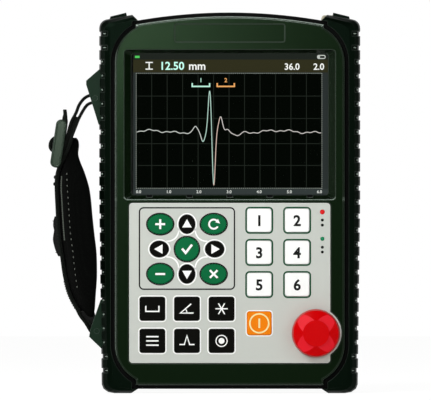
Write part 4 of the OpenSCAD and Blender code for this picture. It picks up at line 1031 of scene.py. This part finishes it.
def cloth_nylon(name, colour, thread):
    """Plain-woven nylon cloth: two sets of threads of the given spacing in mm, as a bump and as a change of
    tone. Real threads are about a third as wide: they are drawn to show."""
    made, tree, place = finish(name)
    pitch = {"Vector": place, "Scale": np.pi / 10 / (thread * MM)}
    warp, weft = (add(tree, "TexWave", pitch, "Fac", bands_direction=way) for way in "YZ")
    crossing = add(tree, "Math", {0: warp, 1: weft}, operation="MULTIPLY")
    wear = add(tree, "TexNoise", {"Vector": place, "Scale": 1 / (9 * MM), "Detail": 3.0})
    level = add(tree, "Math", {0: crossing, 1: wear}, operation="MULTIPLY")
    bumps = {"Height": crossing, "Distance": 0.15 * MM, "Strength": 0.6}
    return coated(made, {
        "Base Color": toned(tree, level, colour, 0.6, 1.9),
        "Normal": add(tree, "Bump", bumps),
        "Roughness": 0.75,
        "Specular IOR Level": 0.03,
        "Sheen Weight": 0.01,
    })


pad_turns = np.radians(np.linspace(-90, 90, pad_columns))
stations = smooth(pad_stations, pad_rows)
outer_layer, inner_layer = (pad_layer(stations, pad_turns, inner) for inner in (False, True))
layers = np.concatenate((outer_layer, inner_layer[:, ::-1]), axis=1)
ring = layers.shape[1]
quads = skin_faces(pad_rows, ring)[:-2]
mate = np.arange(pad_columns - 1)
cap = np.column_stack((mate, mate + 1, ring - 2 - mate, ring - 1 - mate))
quads += cap[:, ::-1].tolist() + (cap + (pad_rows - 1) * ring).tolist()
pad_cloth = cloth_nylon("black_nylon_cloth", "#030403", 1.1)
pad = piece("hand_pad", layers.reshape(-1, 3), quads, pad_cloth, "housing")
shade(pad, 75)
stitch_turn, piping_turn = np.radians(52), np.radians(31)
held_turns = np.array([-stitch_turn, -piping_turn, piping_turn, stitch_turn])
column = np.abs(pad_turns[:, None] - held_turns).argmin(axis=0)
held = np.concatenate((column, ring - 1 - column))
grid = np.arange(pad_rows * ring).reshape(pad_rows, ring)
seams = pad.vertex_groups.new(name="seams")
seams.add(np.concatenate((grid[:, held].ravel(), grid[0], grid[-1])).tolist(), 1.0, "REPLACE")
swell = pad.modifiers.new("swell", "CLOTH")
swell.settings.vertex_group_mass = "seams"
swell.settings.use_pressure = True
swell.settings.uniform_pressure_force = 4
swell.settings.effector_weights.gravity = 0
for step in range(1, 21):
    scene.frame_set(step)
swollen = pad.evaluated_get(bpy.context.evaluated_depsgraph_get()).to_mesh()
after, before = np.empty(layers.size), np.empty(layers.size)
swollen.vertices.foreach_get("co", after)
pad.data.vertices.foreach_get("co", before)
pad.modifiers.remove(swell)
scene.frame_set(1)
move = (after - before).reshape(-1, 3)
most = 1.0 * MM
far = np.linalg.norm(move, axis=1, keepdims=True)
move *= np.minimum(1, most / np.maximum(far, 1e-9))
pad.data.vertices.foreach_set("co", before + move.ravel())
pad.data.update()
rounder = pad.modifiers.new("rounder", "SUBSURF")
rounder.levels = rounder.render_levels = 1
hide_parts("strap_pad")

# Stitching: grey bonded thread along each side of the pad, over the tab's hems and in a crossed box above the
# lower bar, ribbed piping where the webbing's edge lies on the pad, and two thick tacks below the buckle. The
# thread stands out of the cloth in short pale dashes.
thread = moulded("grey_bonded_thread", "#5f635c", 0.5, 0.3, 0.02, gloss=0.2, edge=0.05)
piping = moulded("grey_piping", "#565c54", 0.55, 0.4, 0.03, gloss=0.2, edge=0.05)


def pad_seam(turn, low, high, pitch):
    """Spots along the pad's outer layer at one turn, with the directions along the seam and out of it."""
    count = int((high - low) / pitch) + 1
    up = np.linspace(low, high, count)
    here = np.column_stack([np.interp(up, stations[:, 0], stations[:, k]) for k in range(4)])
    turns = np.array([turn - 0.02, turn, turn + 0.02])
    spots = pad_layer(here, turns, False)
    along = unit(np.gradient(spots[:, 1], axis=0))
    out = unit(np.cross(spots[:, 2] - spots[:, 0], along))
    return spots[:, 1], along, out * np.sign(-out[:, :1])


thread_lift = 0.2
for side, label in ((-1, "front"), (1, "rear")):
    for kind, turn, low, high, pitch, long, wide, made in (
        ("stitches", stitch_turn, 27, 96, 3.5, 1.3, 0.6, thread),
        ("piping", piping_turn, 56, 94, 1.3, 1.5, 1.0, piping),
    ):
        spots, along, out = pad_seam(side * turn, low, high, pitch)
        spots += thread_lift * out
        beads(f"{label}_{kind}", spots, along, out, long, wide, made)


def sewn(name, places, y, long, wide, made):
    """Stitches at places out and up, laid out of the strap's side, with their length up the strap."""
    spots = np.insert(strap_at(places), 1, y, axis=1)
    up, out = (np.tile(way, (len(spots), 1)) for way in ((0.0, 0.0, 1.0), (-1.0, 0.0, 0.0)))
    beads(name, spots, up, out, long, wide, made)


def webbing_face(up):
    """Places on the outer face of the webbing at heights up the strap."""
    lift = 0.15
    out = np.interp(up, strap_line[:, 1], strap_line[:, 0]) + webbing_t / 2 + lift
    return np.column_stack((out, up))


tack_y = np.linspace(-10.5, 10.5, 15)
tack_at = np.repeat([(27.2, 94), (27.5, 89.8)], len(tack_y), axis=0)
sewn("bar_tacks", tack_at, np.tile(tack_y, 2), 2.2, 1.5, tab_cloth)
hem_y = np.linspace(-9.6, 9.6, 13)
hem_at = np.repeat([(26.35, 47.9), (28.15, 67.2)], len(hem_y), axis=0)
sewn("tab_stitches", hem_at, np.tile(hem_y, 2), 0.6, 1.1, thread)
box_count, box_half = 12, 9.8
box_up = np.tile(np.linspace(14, 30, box_count), 4)
box_ends = np.array([(-1, -1), (1, 1), (-1, 1), (1, -1)]) * box_half
box_y = np.concatenate([np.linspace(*ends, box_count) for ends in box_ends])
sewn("box_stitches", webbing_face(box_up), box_y, 1.1, 0.55, thread)

# Buckle: a slide adjuster moulded in green acetal, smooth and glossy, with two rails and three bars, its
# edges painted paler as a painted highlight. A bead runs round the outside of each rail.
buckle_acetal = moulded(
    "green_acetal", "#101f13", 0.25, 1.2, 0.01, gloss=0.3, edge=1.0, edge_highlight=0.4, full=0.9, pale="#a9bcae",
    sheen="#d8f0d8"
)
dress(buckle_acetal, "strap_buckle")
buckle_l, buckle_t, buckle_r = 28, 5, 2.4
bead_r, bead_y = 0.85, 15.5


def ring_tube(name, line, r, made):
    """A round bead of radius r along a closed line of points: circles square to the line's direction, each
    spanned by the direction across the strap and the one square to both."""
    along = unit(np.roll(line, -1, axis=0) - np.roll(line, 1, axis=0))
    side = np.tile((0.0, 1.0, 0.0), (len(line), 1))
    out = np.cross(along, side)
    turn = np.radians(np.arange(0, 360, 36))[None, :, None]
    points = line[:, None] + r * (np.cos(turn) * out[:, None] + np.sin(turn) * side[:, None])
    rows, columns = points.shape[:2]
    faces = np.array(skin_faces(rows + 1, columns)[:-2]) % (rows * columns)
    shade(piece(name, points.reshape(-1, 3), faces.tolist(), made, "housing"), 60)


rail_line = strap_at(by_buckle(rounded_line(buckle_l, buckle_t, buckle_r, buckle_l / 2, 0)))
for side, label in ((-1, "front"), (1, "rear")):
    bead_line = np.insert(rail_line, 1, side * bead_y, axis=1)
    ring_tube(f"{label}_buckle_bead", bead_line, bead_r, buckle_acetal)
